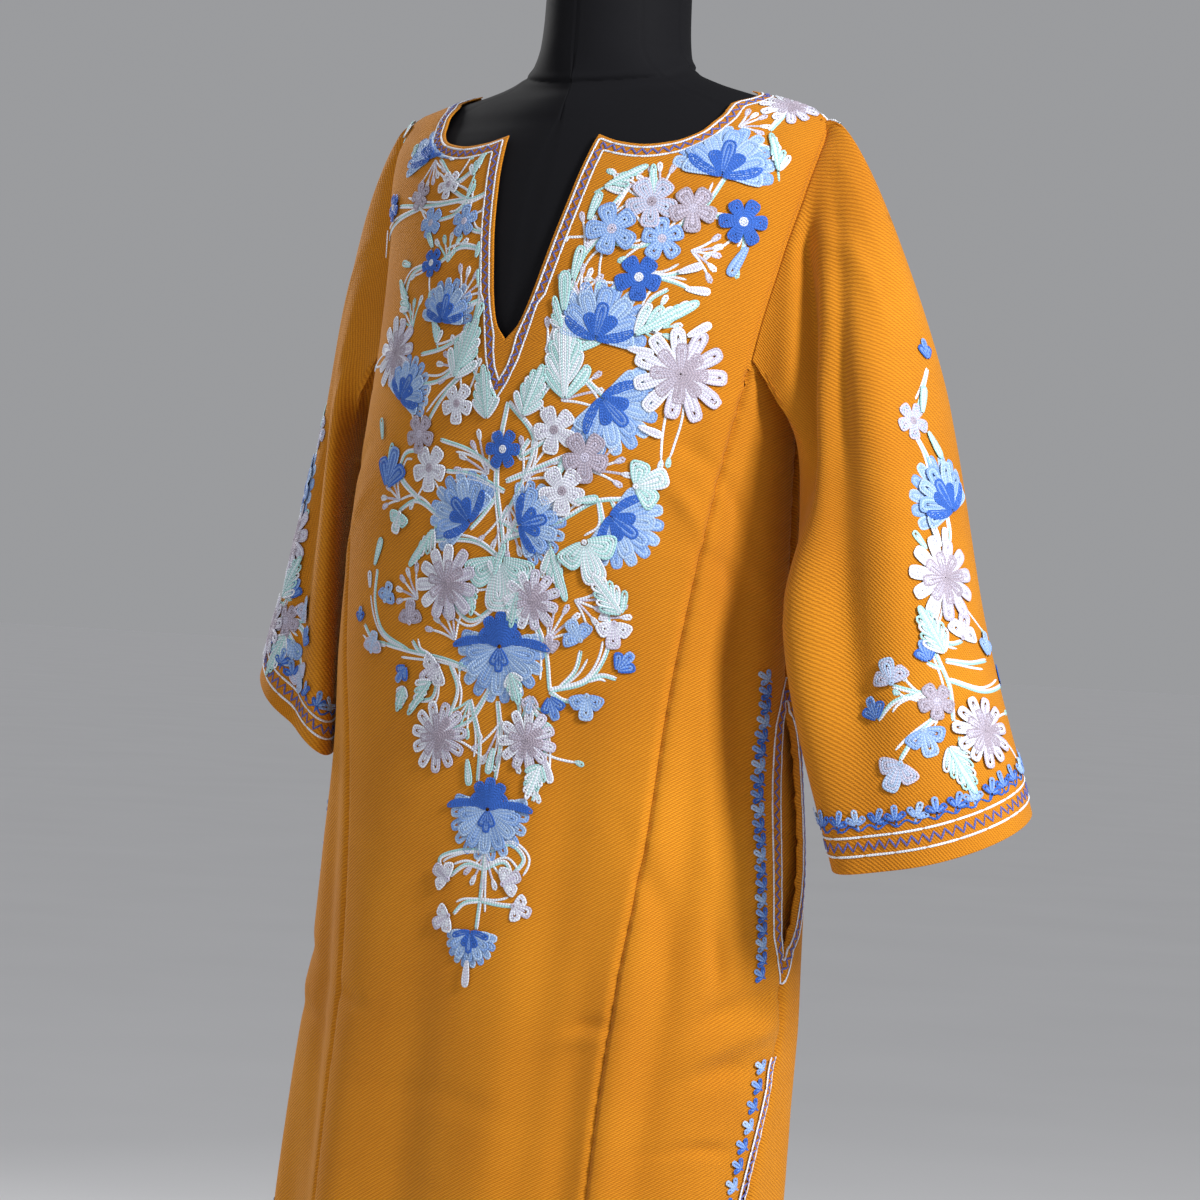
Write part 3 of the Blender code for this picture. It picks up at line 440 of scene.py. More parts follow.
def shell_grids(outside, normals, seams=(), closed=False, free=None):
    """Outside and inside of a shell. Seam edges dip, and every edge is rounded a little.
    Past the first `free` rows the left edge is no edge, because a mirrored half goes on there."""
    outside = outside.copy()
    for edge in seams:
        flat = np.moveaxis(outside, {"left": 1, "right": 1, "top": 0, "bottom": 0}[edge], 0)
        line = flat[0 if edge in ("left", "top") else -1]
        distance = np.linalg.norm(flat - line, axis=-1)
        pucker = 1 + 0.35 * np.sin(line[:, 2] * 410) * np.sin(line[:, 2] * 97 + 1)
        dip = SEAM_DIP * pucker * np.exp(-((distance / SEAM_DIP_WIDTH) ** 2))
        flat -= np.moveaxis(normals, {"left": 1, "right": 1}.get(edge, 0), 0) * dip[..., None]
    inside = outside - normals * WALL
    rim = np.zeros(outside.shape[:2], bool)
    rim[0] = rim[-1] = True
    if not closed:
        rim[:free, 0] = rim[:, -1] = True
    outer_grids.append(np.concatenate([outside, outside[:, :1]], 1) if closed else outside.copy())
    outside[rim] -= normals[rim] * EDGE_ROUND
    inside[rim] += normals[rim] * EDGE_ROUND
    return outside, inside


def shell_mesh(name, parts, closed=False, free=None):
    """A mesh from parts, each an outside, an inside and a UV grid. Faces of a tube close up."""
    points, faces, uvs = [], [], []
    base = 0
    for outside, inside, uv in parts:
        rows, columns = outside.shape[:2]
        points += [outside.reshape(-1, 3), inside.reshape(-1, 3)]
        index = base + np.arange(rows * columns).reshape(rows, columns)
        behind = index + rows * columns
        if closed:
            index = np.concatenate([index, index[:, :1]], 1)
            behind = np.concatenate([behind, behind[:, :1]], 1)
        faces += [quads(index).reshape(-1, 4), quads(behind, turned=True).reshape(-1, 4)]
        uvs += [quads(uv, -2).reshape(-1, 2), quads(uv, -2, turned=True).reshape(-1, 2)]
        edges = [(index[0], behind[0], uv[0]), (index[-1][::-1], behind[-1][::-1], uv[-1][::-1])]
        if not closed:
            edges += [(index[:free, 0][::-1], behind[:free, 0][::-1], uv[:free, 0][::-1])]
            edges += [(index[:, -1], behind[:, -1], uv[:, -1])]
        for front, back, line in edges:
            faces.append(np.stack([front[:-1], front[1:], back[1:], back[:-1]], -1))
            uvs.append(np.stack([line[:-1], line[1:], line[1:], line[:-1]], 1).reshape(-1, 2))
        base += 2 * rows * columns
    mesh = bpy.data.meshes.new(name)
    mesh.from_pydata(np.concatenate(points).tolist(), [], np.concatenate(faces).tolist())
    layer = mesh.uv_layers.new(name="cloth")
    layer.data.foreach_set("uv", np.concatenate(uvs).astype(np.float32).ravel())
    return mesh


def finish_shell(name, mesh, node):
    """Merges the shell's doubled points, turns its faces out and stands it in for its solid."""
    bm = bmesh.new()
    bm.from_mesh(mesh)
    bmesh.ops.remove_doubles(bm, verts=bm.verts, dist=2e-5)
    inner = [f for f in bm.faces if all(not e.is_manifold for e in f.edges)]
    print(name, "points", len(bm.verts), "loose faces", len(inner))
    bmesh.ops.recalc_face_normals(bm, faces=bm.faces)
    bm.to_mesh(mesh)
    bm.free()
    mesh.shade_smooth()
    mesh.set_sharp_from_angle(angle=math.radians(60))
    obj = bpy.data.objects.new(name, mesh)
    bpy.context.scene.collection.objects.link(obj)
    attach(obj, "root")
    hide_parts(node)
    tunic_pieces[name] = obj
    return obj


def cloth_area(obj):
    """The area of one side, in square metres."""
    return sum(polygon.area for polygon in obj.data.polygons) / 2


# %% The front, the sides and the back
def body_normal(turn, z):
    """Normals of the body's cloth, pointing out."""
    a = body(turn + 0.4, z) - body(turn - 0.4, z)
    b = body(turn, np.minimum(z + 0.002, NECK_POINT_Z)) - body(turn, z - 0.002)
    return unit(np.cross(b, a))


RUN_Z = np.linspace(HEM_Z, NECK_POINT_Z, 200)
RUN = run_along(body(np.full(200, 55.0), RUN_Z), 0)


def cloth_run(z):
    """How far up the cloth a height is, measured over the shoulder's curve."""
    return np.interp(z, RUN_Z, RUN)


def body_grids(places, mirror, seams, free=None):
    turn, z = places
    if mirror:
        turn = 180 - turn
    outside = body(turn, z)
    normals = grid_normals(outside)
    middle = len(normals) // 2
    if normals[middle, 10] @ (outside[middle, 10] * (1, 1, 0)) < 0:
        normals = -normals
    if free is not None:
        normals[free:, 0] = body_normal(turn[free:, 0], z[free:, 0])
    start = np.abs(outside[:, :1, 0]) if free is not None else 0
    around = run_along(outside * (1, 1, 0), 1) + start
    uv = np.stack([-around if mirror else around, cloth_run(outside[..., 2])], -1)
    outside, inside = shell_grids(outside, normals, seams, free=free)
    return outside, inside, uv


def body_piece(name, node, places, mirrors, seams, free=None):
    parts = [body_grids(places, mirror, seams, free) for mirror in mirrors]
    return finish_shell(name, shell_mesh(name, parts, free=free and free + 1), node)


front = front_places()
slit_rows = int(np.argmax(front[0][:, 0] >= 90))
back = back_places()
side = side_places()
front_centre = body_piece(
    "tunic_front", "front_centre", front, (False, True), ("right",), slit_rows
)
back_panel = body_piece("tunic_back", "back_panel", back, (False, True), ("right",), 1)
side_left = body_piece(
    "tunic_side_left", "side_front_left", side, (False,), ("left", "right")
)
side_right = body_piece(
    "tunic_side_right", "side_front_right", side, (True,), ("left", "right")
)
for piece in (front_centre, back_panel, side_left, side_right):
    print(piece.name, "area", round(cloth_area(piece), 4), "faces", len(piece.data.polygons))

# %% [markdown]
# ## Sleeves
# A set-in sleeve starts all round the armhole, swells out of its seam over the shoulder, and
# falls to a wide cuff. Rings below the armhole give each sleeve's own hang: the left one stands
# away from the body, and the right one lies back against it. Long folds run down to the cuffs.

# %% Rings and folds of the sleeves
Ring = namedtuple("Ring", "along x y z half_width half_depth tip_in tip_front yaw")
LEFT_SLEEVE = [
    Ring(0.36, 0.2510, -0.004, 1.1100, 0.0700, 0.0700, 40, 5, 0),
    Ring(0.66, 0.2800, -0.012, 0.9760, 0.0700, 0.0730, 17, 11, 4),
    Ring(1.00, 0.3320, -0.016, 0.8310, 0.0680, 0.0740, 5, 20, 8),
]
RIGHT_SLEEVE = [
    Ring(0.36, 0.2480, 0.020, 1.1100, 0.0320, 0.0740, 45, 5, 20),
    Ring(0.66, 0.2620, 0.012, 0.9920, 0.0390, 0.0740, 34, 14, 30),
    Ring(1.00, 0.2710, 0.004, 0.8930, 0.0460, 0.0760, 26, 22, 40),
]
SleeveFold = namedtuple("SleeveFold", "turn width top bottom height")
LEFT_SLEEVE_FOLDS = [
    SleeveFold(118, 15, 0.30, 1.3, 0.0150),
    SleeveFold(128, 15, 0.10, 0.60, -0.0180),
    SleeveFold(94, 10, 0.05, 0.62, 0.0060),
    SleeveFold(84, 14, 0.10, 0.95, -0.0130),
    SleeveFold(48, 16, 0.10, 0.80, 0.0060),
    SleeveFold(250, 16, 0.06, 1.3, 0.0110),
    SleeveFold(284, 15, 0.10, 0.90, -0.0090),
    SleeveFold(180, 20, 0.15, 1.2, -0.0060),
]
RIGHT_SLEEVE_FOLDS = [
    SleeveFold(98, 13, 0.20, 1.3, 0.0110),
    SleeveFold(58, 14, 0.15, 1.2, -0.0140),
    SleeveFold(140, 18, 0.15, 1.5, -0.0120),
    SleeveFold(196, 18, -0.05, 0.60, -0.0070),
    SleeveFold(240, 16, 0.10, 1.3, 0.0100),
    SleeveFold(285, 15, 0.15, 0.95, -0.0080),
]
# Short creases of a sleeve: turn, how far along, angle, half length and width in metres, height.
LEFT_SLEEVE_CREASES = [
    Crease(100, 0.17, -68, 0.095, 0.015, -0.0210),
    Crease(66, 0.22, -74, 0.080, 0.010, -0.0050),
    Crease(40, 0.16, 74, 0.060, 0.008, 0.0026),
    Crease(20, 0.46, 60, 0.045, 0.008, -0.0016),
    Crease(300, 0.22, -64, 0.065, 0.008, -0.0026),
    Crease(262, 0.40, -76, 0.060, 0.009, 0.0020),
    Crease(160, 0.52, 20, 0.040, 0.007, -0.0022),
    Crease(230, 0.60, 60, 0.050, 0.008, -0.0016),
]
RIGHT_SLEEVE_CREASES = [
    Crease(80, 0.24, 66, 0.060, 0.008, -0.0022),
    Crease(36, 0.18, 74, 0.060, 0.008, 0.0018),
    Crease(296, 0.22, -64, 0.060, 0.008, -0.0024),
    Crease(262, 0.44, -74, 0.060, 0.009, 0.0018),
    Crease(230, 0.62, 60, 0.050, 0.008, -0.0014),
]
SEAM_GAP, SEAM_SWELL, LEAVE_OUT, LEAVE_IN = 0.0003, 0.10, 0.9, 0.45
TUCK, TUCK_GAP = 0.006, 0.0004
SLEEVE_LENGTH, METRES_PER_SLEEVE_DEGREE = 0.56, 0.00125
# Points between two rows of the armhole, steps of them under the arm, and the sleeve's rows,
# which follow the three that are tucked under the body's edge.
ARMHOLE_POINTS, UNDERARM_STEPS, TUCK_ROWS = 5, 5, 3
SLEEVE_ROWS = spaced(120, (0, 1), 0.008)
GRAIN_TURN = math.radians(18)
HEAD_LEAN, HEAD_LEAN_FROM, HEAD_LEAN_OVER = 0.06, 0.20, 0.15


def armhole_loop():
    """Turns and heights round the left armhole: down the front seam, under, up the back. Also
    the number of the point at the back of the underarm."""
    count = ARMHOLE_POINTS
    k = np.arange(len(ARMHOLE_ROWS), dtype=float)
    down, below = (len(k) - 1) * count, UNDERARM_STEPS * count
    fine = np.linspace(0, len(k) - 1, down + 1)
    z = np.interp(fine, k, ARMHOLE_ROWS[:, 1])
    front = np.stack([seam_turn(FRONT_SEAM, z), z], -1)
    t = np.linspace(0, 1, below + 1)[1:, None]
    under = front[-1] + (np.array([0.0, UNDERARM_Z]) - front[-1]) * t
    z = np.interp(fine, np.r_[0.0, k[1:]], np.r_[UNDERARM_Z, ARMHOLE_ROWS[:0:-1, 1]])
    z = z[1:]
    last = ARMHOLE_ROWS[0, 1]
    z = np.r_[z, np.linspace(ARMHOLE_ROWS[1, 1], last, count + 1)[1:-1]]
    back = np.stack([seam_turn(BACK_ARMHOLE, z), z], -1)
    return np.r_[front, under, back], down + below


def ring_points(rings, turn, along, swell):
    known = [ring.along for ring in rings]
    x, y, z, half_width, half_depth, tip_in, tip_front, yaw = (
        float(smooth(known, [ring[c] for ring in rings], along))
        for c in range(1, len(Ring._fields))
    )
    tip_in, tip_front, yaw = (math.radians(a) for a in (tip_in, tip_front, yaw))
    across = np.array([math.cos(tip_in) * math.cos(yaw), -math.cos(tip_in) * math.sin(yaw),
                       math.sin(tip_in)])
    ahead = np.array([-math.cos(tip_front) * math.sin(yaw), -math.cos(tip_front) * math.cos(yaw),
                      -math.sin(tip_front)])
    c, s = np.cos(np.radians(turn))[:, None], np.sin(np.radians(turn))[:, None]
    return (
        np.array([x, y, z])
        + across * c * (half_width + swell[:, None])
        + ahead * s * (half_depth + swell[:, None])
    )


def sleeve_swell(folds, creases, turn, along):
    total = np.zeros(len(turn))
    for fold in folds:
        away = (turn - fold.turn + 180) % 360 - 180
        strength = eased((along - fold.top) / 0.25) * eased((fold.bottom - along) / 0.3)
        total += fold.height * strength * np.exp(-0.5 * (away / fold.width) ** 2)
    for crease in creases:
        across = ((turn - crease.turn + 180) % 360 - 180) * METRES_PER_SLEEVE_DEGREE
        up = (crease.z - along) * SLEEVE_LENGTH
        a = math.radians(crease.angle)
        run = across * math.cos(a) + up * math.sin(a)
        side = up * math.cos(a) - across * math.sin(a) + run * run * 2.0
        total += crease.height * np.exp(
            -((run / crease.half_length) ** 2) - (side / crease.half_width) ** 2
        )
    return total


def sleeve_grid(rings, folds, creases, side):
    """The outside of a sleeve, rows from the armhole to the cuff, and the turns of its columns."""
    loop, under = armhole_loop()
    turn = loop[:, 0] if side > 0 else 180 - loop[:, 0]
    edge = body(turn, loop[:, 1])
    a = body(turn + 0.6, loop[:, 1]) - body(turn - 0.6, loop[:, 1])
    top = np.minimum(loop[:, 1] + 0.002, NECK_POINT_Z)
    b = body(turn, top) - body(turn, top - 0.004)
    flat = normals = unit(np.cross(b, a))
    if normals[under // 2, 0] * side < 0:
        flat = normals = -normals
    place = np.arange(len(edge))
    spread = np.exp(-0.5 * (np.minimum(place, len(edge) - place) / 5) ** 2)
    spread = np.fft.fft(spread / spread.sum())[:, None]
    normals = unit(np.real(np.fft.ifft(np.fft.fft(normals, axis=0) * spread, axis=0)))
    tangent = np.roll(edge, -1, 0) - np.roll(edge, 1, 0)
    middle = edge.mean(0)
    into = unit(np.cross(normals, tangent))
    into *= np.sign(np.einsum("ij,ij->i", into, middle - edge))[:, None]
    steps = np.linalg.norm(np.roll(edge, -1, 0) - edge, axis=1)
    run = np.r_[0, np.cumsum(steps)]
    count_all = len(edge)
    turns = np.where(
        np.arange(count_all) <= under,
        180 * run[:count_all] / run[under],
        180 + 180 * (run[:count_all] - run[under]) / (run[count_all] - run[under]),
    )
    flip = np.array([side, 1, 1])
    first = rings[0].along
    none = np.zeros(count_all)
    start = edge + into * SEAM_GAP
    end = ring_points(rings, turns, first, none) * flip
    beyond = ring_points(rings, turns, first + 0.02, none) * flip
    from_top = np.minimum(run[:count_all], run[count_all] - run[:count_all])
    inward = LEAVE_IN * eased(from_top / 0.07)[:, None]
    low = eased((1.27 - edge[:, 2:]) / 0.09)
    leave = normals * LEAVE_OUT * (1 - 0.4 * low) + into * inward - low * np.array([0, 0, 0.9])
    leave = unit(leave) * SEAM_SWELL
    arrive = (beyond - end) / 0.02 * first
    out = unit(end - np.array([rings[0].x * side, rings[0].y, rings[0].z]))
    depth = WALL + TUCK_GAP
    under_edge = edge - flat * depth
    grid = [under_edge - into * TUCK, under_edge - into * TUCK / 2, under_edge + into * SEAM_GAP]
    for along in SLEEVE_ROWS:
        swell = sleeve_swell(folds, creases, turns, along)
        if along >= first:
            grid.append(ring_points(rings, turns, along, swell) * flip)
            continue
        row = hermite(start, end, leave, arrive, along / first)
        grid.append(row + out * (swell * eased(along / 0.05))[:, None])
    return np.array(grid), turns, flat


def sleeve_piece(name, node, rings, folds, creases, side):
    outside, turns, flat = sleeve_grid(rings, folds, creases, side)
    normals = grid_normals(outside, closed=True)
    if (normals[60, 0] @ np.array([side, 0, 0])) < 0:
        normals = -normals
    normals[:2] = flat
    normals[2] = unit(flat + normals[4])
    ring = np.concatenate([outside, outside[:, :1]], 1)
    middle = outside[-1].mean(0)
    axis = unit(middle - outside[len(outside) // 2].mean(0))
    ring = ring - middle
    x = (ring - (ring @ axis)[..., None] * axis) @ (side, 0, 0)
    x += HEAD_LEAN * eased((-(ring @ axis) - HEAD_LEAN_FROM) / HEAD_LEAN_OVER)
    y = -(ring - (ring @ axis)[..., None] * axis) @ (0, 1, 0)
    t = np.linspace(-2 * np.pi, 4 * np.pi, 600)
    oval = np.stack([rings[1].half_width * np.cos(t), rings[1].half_depth * np.sin(t)], -1)
    swept = np.unwrap(np.arctan2(oval[:, 1], oval[:, 0]))
    swept -= 2 * np.pi * round((swept[200] - t[200]) / (2 * np.pi))
    run = np.interp(np.unwrap(np.arctan2(y, x), axis=1), swept, run_along(oval, 0))
    run, down = run * side, ring @ axis
    c, s = math.cos(GRAIN_TURN), math.sin(GRAIN_TURN)
    uv = np.stack([run * c - down * s, -down * c - run * s], -1)
    out, into = shell_grids(outside, normals, closed=True)
    obj = finish_shell(name, shell_mesh(name, [(out, into, uv)], closed=True), node)
    print(name, "area", round(cloth_area(obj), 4), "faces", len(obj.data.polygons))
    return obj, outside, normals, turns


sleeve_left, left_out, left_normals, left_turns = sleeve_piece(
    "tunic_sleeve_left", "sleeve_left", LEFT_SLEEVE, LEFT_SLEEVE_FOLDS, LEFT_SLEEVE_CREASES, 1
)
sleeve_right, right_out, right_normals, right_turns = sleeve_piece(
    "tunic_sleeve_right", "sleeve_right", RIGHT_SLEEVE, RIGHT_SLEEVE_FOLDS,
    RIGHT_SLEEVE_CREASES, -1,
)

# %% [markdown]
# ## Pockets
# Behind each opening in the side seam hangs a shallow pocket of the same cloth. It is a dish
# that lies just inside the body's cloth, so it starts as the body's surface moved in.

# %% Pocket dishes
POCKET_DEPTH, POCKET_CLEARANCE, POCKET_MARGIN_TURN, POCKET_MARGIN_Z = 0.012, 0.0019, 7.0, 0.022


def pocket_piece(name, node, mirror):
    z = np.linspace(POCKET_TOP_Z + POCKET_MARGIN_Z, POCKET_BOTTOM_Z - POCKET_MARGIN_Z, 44)
    front, behind = POCKET_OPEN_FRONT + POCKET_MARGIN_TURN, -POCKET_OPEN_BACK - POCKET_MARGIN_TURN
    turn = np.linspace(front, behind, 22)
    u, v = np.meshgrid(np.linspace(0, 1, 22), np.linspace(0, 1, 44))
    turn, z = np.meshgrid(180 - turn if mirror else turn, z)
    normals = body_normal(turn, z)
    dish = np.sin(np.pi * u) * np.sin(np.pi * v) * (1 + 0.10 * np.sin(v * 9 + u * 4))
    outside = body(turn, z) - normals * (WALL + POCKET_CLEARANCE + POCKET_DEPTH * dish)[..., None]
    uv = np.stack([run_along(outside, 1), -run_along(outside, 0)], -1)
    out, into = shell_grids(outside, normals)
    obj = finish_shell(name, shell_mesh(name, [(out, into, uv)]), node)
    print(name, "area", round(cloth_area(obj), 4))
    return obj


pocket_left = pocket_piece("tunic_pocket_left", "pocket_left", False)
pocket_right = pocket_piece("tunic_pocket_right", "pocket_right", True)

# %% [markdown]
# ## Chain stitch
# The flowers are worked in chain stitch: each petal is filled by lines of stitches that run
# along its edge, nested inside one another. Curve objects with a bevel would do for a line, but
# not for some thousand of them, so each line is a narrow raised strip, three points wide, laid
# on the cloth and shaded round. A petal is a few formulas, and a flower is petals about a centre.

# %% Lines of stitches on the cloth
THREADS = {
    "royal": (0.026, 0.120, 0.500), "sky": (0.223, 0.376, 0.716), "pale": (0.429, 0.578, 0.791),
    "grey": (0.400, 0.340, 0.400), "lilac": (0.570, 0.530, 0.640), "white": (0.780, 0.810, 0.860),
    "mint": (0.402, 0.680, 0.645), "sage": (0.262, 0.429, 0.400), "violet": (0.105, 0.125, 0.400),
}
LINE_WIDTH, LINE_STEP, LINE_LIFT, LAYER, OVERLAP = 0.0019, 0.00165, 0.0006, 0.00030, 0.0007
chance = random.Random(7)

corners, cells = [], []
for grid in outer_grids:
    index = sum(map(len, corners)) + np.arange(grid.shape[0] * grid.shape[1])
    index = index.reshape(grid.shape[:2])
    corners.append(grid.reshape(-1, 3))
    cells.append(quads(index).reshape(-1, 4))
cloth = BVHTree.FromPolygons(np.concatenate(corners).tolist(), np.concatenate(cells).tolist())
Spot = namedtuple("Spot", "point normal right up")


class Stitches:
    """Lines of stitches that become one mesh."""

    def __init__(self, name, limit=None):
        self.name, self.points, self.faces, self.colours, self.uvs = name, [], [], [], []
        self.count, self.raised, self.limit = 0, 0.0, limit

    def kept(self, points):
        """The points, with those past the limit's line brought back to it."""
        points = np.array(points, float)
        if self.limit is None:
            return points
        line, way = self.limit
        near = np.argmin(np.linalg.norm(points[:, None] - line[None], axis=2), axis=1)
        past = np.einsum("ij,ij->i", points - line[near], way[near]).clip(-0.05, 0)
        return points - way[near] * past[:, None] * 0.92

    def line(self, points, facing, thread, layer=0, width=LINE_WIDTH, closed=False):
        """A line through the points, laid on the cloth that faces the given way. Its thread is a
        name, or two names whose colours mix."""
        laid, normals = [], []
        for point in self.kept(points):
            place, normal, _, _ = cloth.find_nearest(Vector(point))
            if normal.dot(Vector(facing)) < 0:
                normal = -normal
            laid.append(place)
            normals.append(normal)
        laid, normals = np.array(laid), np.array(normals)
        if closed:
            along = np.roll(laid, -1, 0) - np.roll(laid, 1, 0)
        else:
            along = np.gradient(laid, axis=0)
        side = unit(np.cross(normals, along)) * width / 2
        if not closed:
            side[[0, -1]] *= 0.45
        base = laid + normals * (LAYER * layer + 0.00012 + (self.raised if layer else 0))
        rows = np.stack([base - side, base + normals * LINE_LIFT, base + side], 1)
        n = len(rows)
        index = self.count + np.arange(3 * n).reshape(n, 3)
        if closed:
            index = np.concatenate([index, index[:1]])
        self.faces.append(quads(index).reshape(-1, 4))
        self.points.append(rows.reshape(-1, 3))
        self.count += 3 * n
        names = (thread,) if isinstance(thread, str) else thread
        colour = np.mean([THREADS[name] for name in names], axis=0) * chance.uniform(0.90, 1.08)
        self.colours.append(np.tile(np.append(colour, 1.0), (3 * n, 1)))
        run = np.r_[0, np.cumsum(np.linalg.norm(np.diff(laid, axis=0), axis=1))]
        uv = np.stack([np.repeat(run, 3), np.tile([-1.0, 0.0, 1.0], n)], -1)
        self.uvs.append(uv)

    def made(self):
        points, faces = np.concatenate(self.points), np.concatenate(self.faces)
        mesh = bpy.data.meshes.new(self.name)
        mesh.from_pydata(points.tolist(), [], faces.tolist())
        layer = mesh.uv_layers.new(name="stitch")
        layer.data.foreach_set("uv", np.concatenate(self.uvs)[faces.ravel()].ravel())
        colour = mesh.color_attributes.new("thread", "FLOAT_COLOR", "POINT")
        colour.data.foreach_set("color", np.concatenate(self.colours).ravel())
        mesh.shade_smooth()
        obj = bpy.data.objects.new(self.name, mesh)
        bpy.context.scene.collection.objects.link(obj)
        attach(obj, "root")
        print(self.name, "triangles", 2 * len(faces))
        return obj


def spot_at(point, normal):
    point, normal = np.asarray(point), np.asarray(normal)
    up = np.array([0, 0, 1.0])
    up = unit(up - normal * (up @ normal))
    return Spot(point, normal, np.cross(up, normal), up)


def directions(spot, way):
    """The direction at an angle (in radians) from upright on the cloth, and the one beside it."""
    ahead = math.sin(way) * spot.right + math.cos(way) * spot.up
    return ahead, math.cos(way) * spot.right - math.sin(way) * spot.up


def foot_of(spot, angle, distance):
    """The spot moved back along the angle."""
    ahead, _ = directions(spot, math.radians(angle))
    return spot._replace(point=spot.point - ahead * distance)


def on_front(turn, z):
    return spot_at(body(turn, z), body_normal(turn, z))


# %% [markdown]
# ## Petals, leaves and flowers
# A petal is an outline that is round or pointed at its tip and narrow at its foot, and its
# inner lines are the same outline moved in. The kinds of flower differ in how many petals they
# have, how far these spread, and which threads they are worked in.

# %% Flower kinds
def petal(stitches, spot, angle, start, length, width, threads, layer=0, point=1.7, bend=0.0):
    """Nested lines that fill a petal. Its foot is at start from the spot, along the angle."""
    inset, k = LINE_STEP / 2, 0
    while width / 2 - inset > -0.45 * LINE_STEP:
        half = max(width / 2 - inset, 0.0)
        reach = max(length - 1.3 * inset, 0.001)
        if half < 0.0005:
            t = np.linspace(1, 0, max(4, int(reach / 0.0020)))
            x, y = 0 * t, (1 - t) * reach * 0.94
        else:
            t = np.linspace(-1, 1, max(9, int(2 * reach / 0.0017)) | 1)
            shape = np.sin(np.pi * 0.95 * np.abs(t) ** 0.72) ** 0.7
            x, y = half * np.sign(t) * shape, reach * (1 - np.abs(t) ** point)
        y = start + y + 0.2 * inset
        x = x + bend * y * y
        a = math.radians(angle)
        across, ahead = x * math.cos(a) + y * math.sin(a), y * math.cos(a) - x * math.sin(a)
        points = spot.point + across[:, None] * spot.right + ahead[:, None] * spot.up
        mixed = (threads[k % len(threads)], threads[0], threads[k % len(threads)])
        stitches.line(points, spot.normal, mixed, layer)
        inset, k = inset + LINE_STEP, k + 1


def centre_dot(stitches, spot, radius, thread, layer):
    for r in np.arange(radius, 0.0002, -LINE_STEP):
        t = np.linspace(0, 2 * np.pi, max(7, int(6 * r / 0.0013)), endpoint=False)
        points = spot.point + np.outer(np.cos(t) * r, spot.right) + np.outer(np.sin(t) * r, spot.up)
        stitches.line(points, spot.normal, thread, layer, closed=True)


def wheel(stitches, spot, size, angle, count, threads, others, centre, layer=1):
    """Petals all round a centre. Every petal past half takes the other threads."""
    for k in range(count):
        turn = angle + 360 * (k + 0.5) / count
        chosen = threads if k < (count + 1) // 2 else others
        length = size * chance.uniform(0.92, 1.04)
        width = 2 * math.pi * size * 0.60 / count
        petal(stitches, spot, turn, size * 0.06, length, width, chosen, layer)
    centre_dot(stitches, spot, size * 0.13 + 0.0006, centre, layer + 1)


def spray(stitches, spot, size, angle, count, spread, width, threads, layer=1, point=1.7, taper=0.25):
    """Petals that fan out from one foot, the middle ones longest."""
    for k in range(count):
        share = (2 * k / (count - 1) - 1) if count > 1 else 0
        length = size * (1 - taper * share * share) * chance.uniform(0.95, 1.03)
        petal(
            stitches, spot, angle + spread / 2 * share, size * 0.05, length, width,
            threads[k % len(threads)], layer, point, bend=share * 5,
        )


# A palette is two threads. The letters stand for white, lilac, sky, royal, grey, mint, blue,
# azure and heather.
PALETTES = {
    "w": ("white", "lilac"), "l": ("lilac", "pale"), "s": ("sky", "pale"), "r": ("royal", "royal"),
    "g": ("grey", "lilac"), "m": ("mint", "white"), "b": ("royal", "sky"), "a": ("pale", "sky"),
    "h": ("lilac", "white"),
}


def tendrils(stitches, spot, size, angle, count):
    """Short curved stems that end in a drop, under and around a flower."""
    for k in range(count):
        way = math.radians(angle + 180 + (k - (count - 1) / 2) * 38 + chance.uniform(-8, 8))
        aim, side = directions(spot, way)
        reach = size * chance.uniform(1.5, 1.8) + 0.005
        t = np.linspace(0.15, 1, 11)[:, None]
        curl = chance.choice((-1, 1)) * chance.uniform(0.25, 0.5)
        points = spot.point + aim * reach * t + side * reach * curl * t * t
        stitches.line(points, spot.normal, "white", 0)
        tip = spot._replace(point=points[-1])
        petal(stitches, tip, math.degrees(way) + 60 * curl, -0.002, 0.0085, 0.0044,
              ("white", "mint") if k % 2 else ("mint", "white"), 0, 1.4)


def feather(stitches, base, size, angle, sides, count, threads):
    """A leaf whose fingers stand off a midrib, on one side or on both."""
    ahead, across = directions(base, math.radians(angle))
    bow = -0.10 * size * sides[0] if len(sides) == 1 else 0.0
    for k in range(count):
        share = k / count
        foot = base._replace(
            point=base.point + ahead * size * 0.62 * share + across * bow * math.sin(math.pi * share)
        )
        for side in sides:
            lean = side * (46 - 30 * share) * chance.uniform(0.9, 1.1)
            length = size * (0.48 - 0.10 * share)
            petal(stitches, foot, angle + lean, 0.0, length, max(0.0046, size * 0.15),
                  threads[:: 1 if k % 2 else -1], 1, 1.35, bend=-5 * side)
    petal(stitches, base, angle, 0.0, size, max(0.0050, size * 0.16), threads, 2, 1.3)


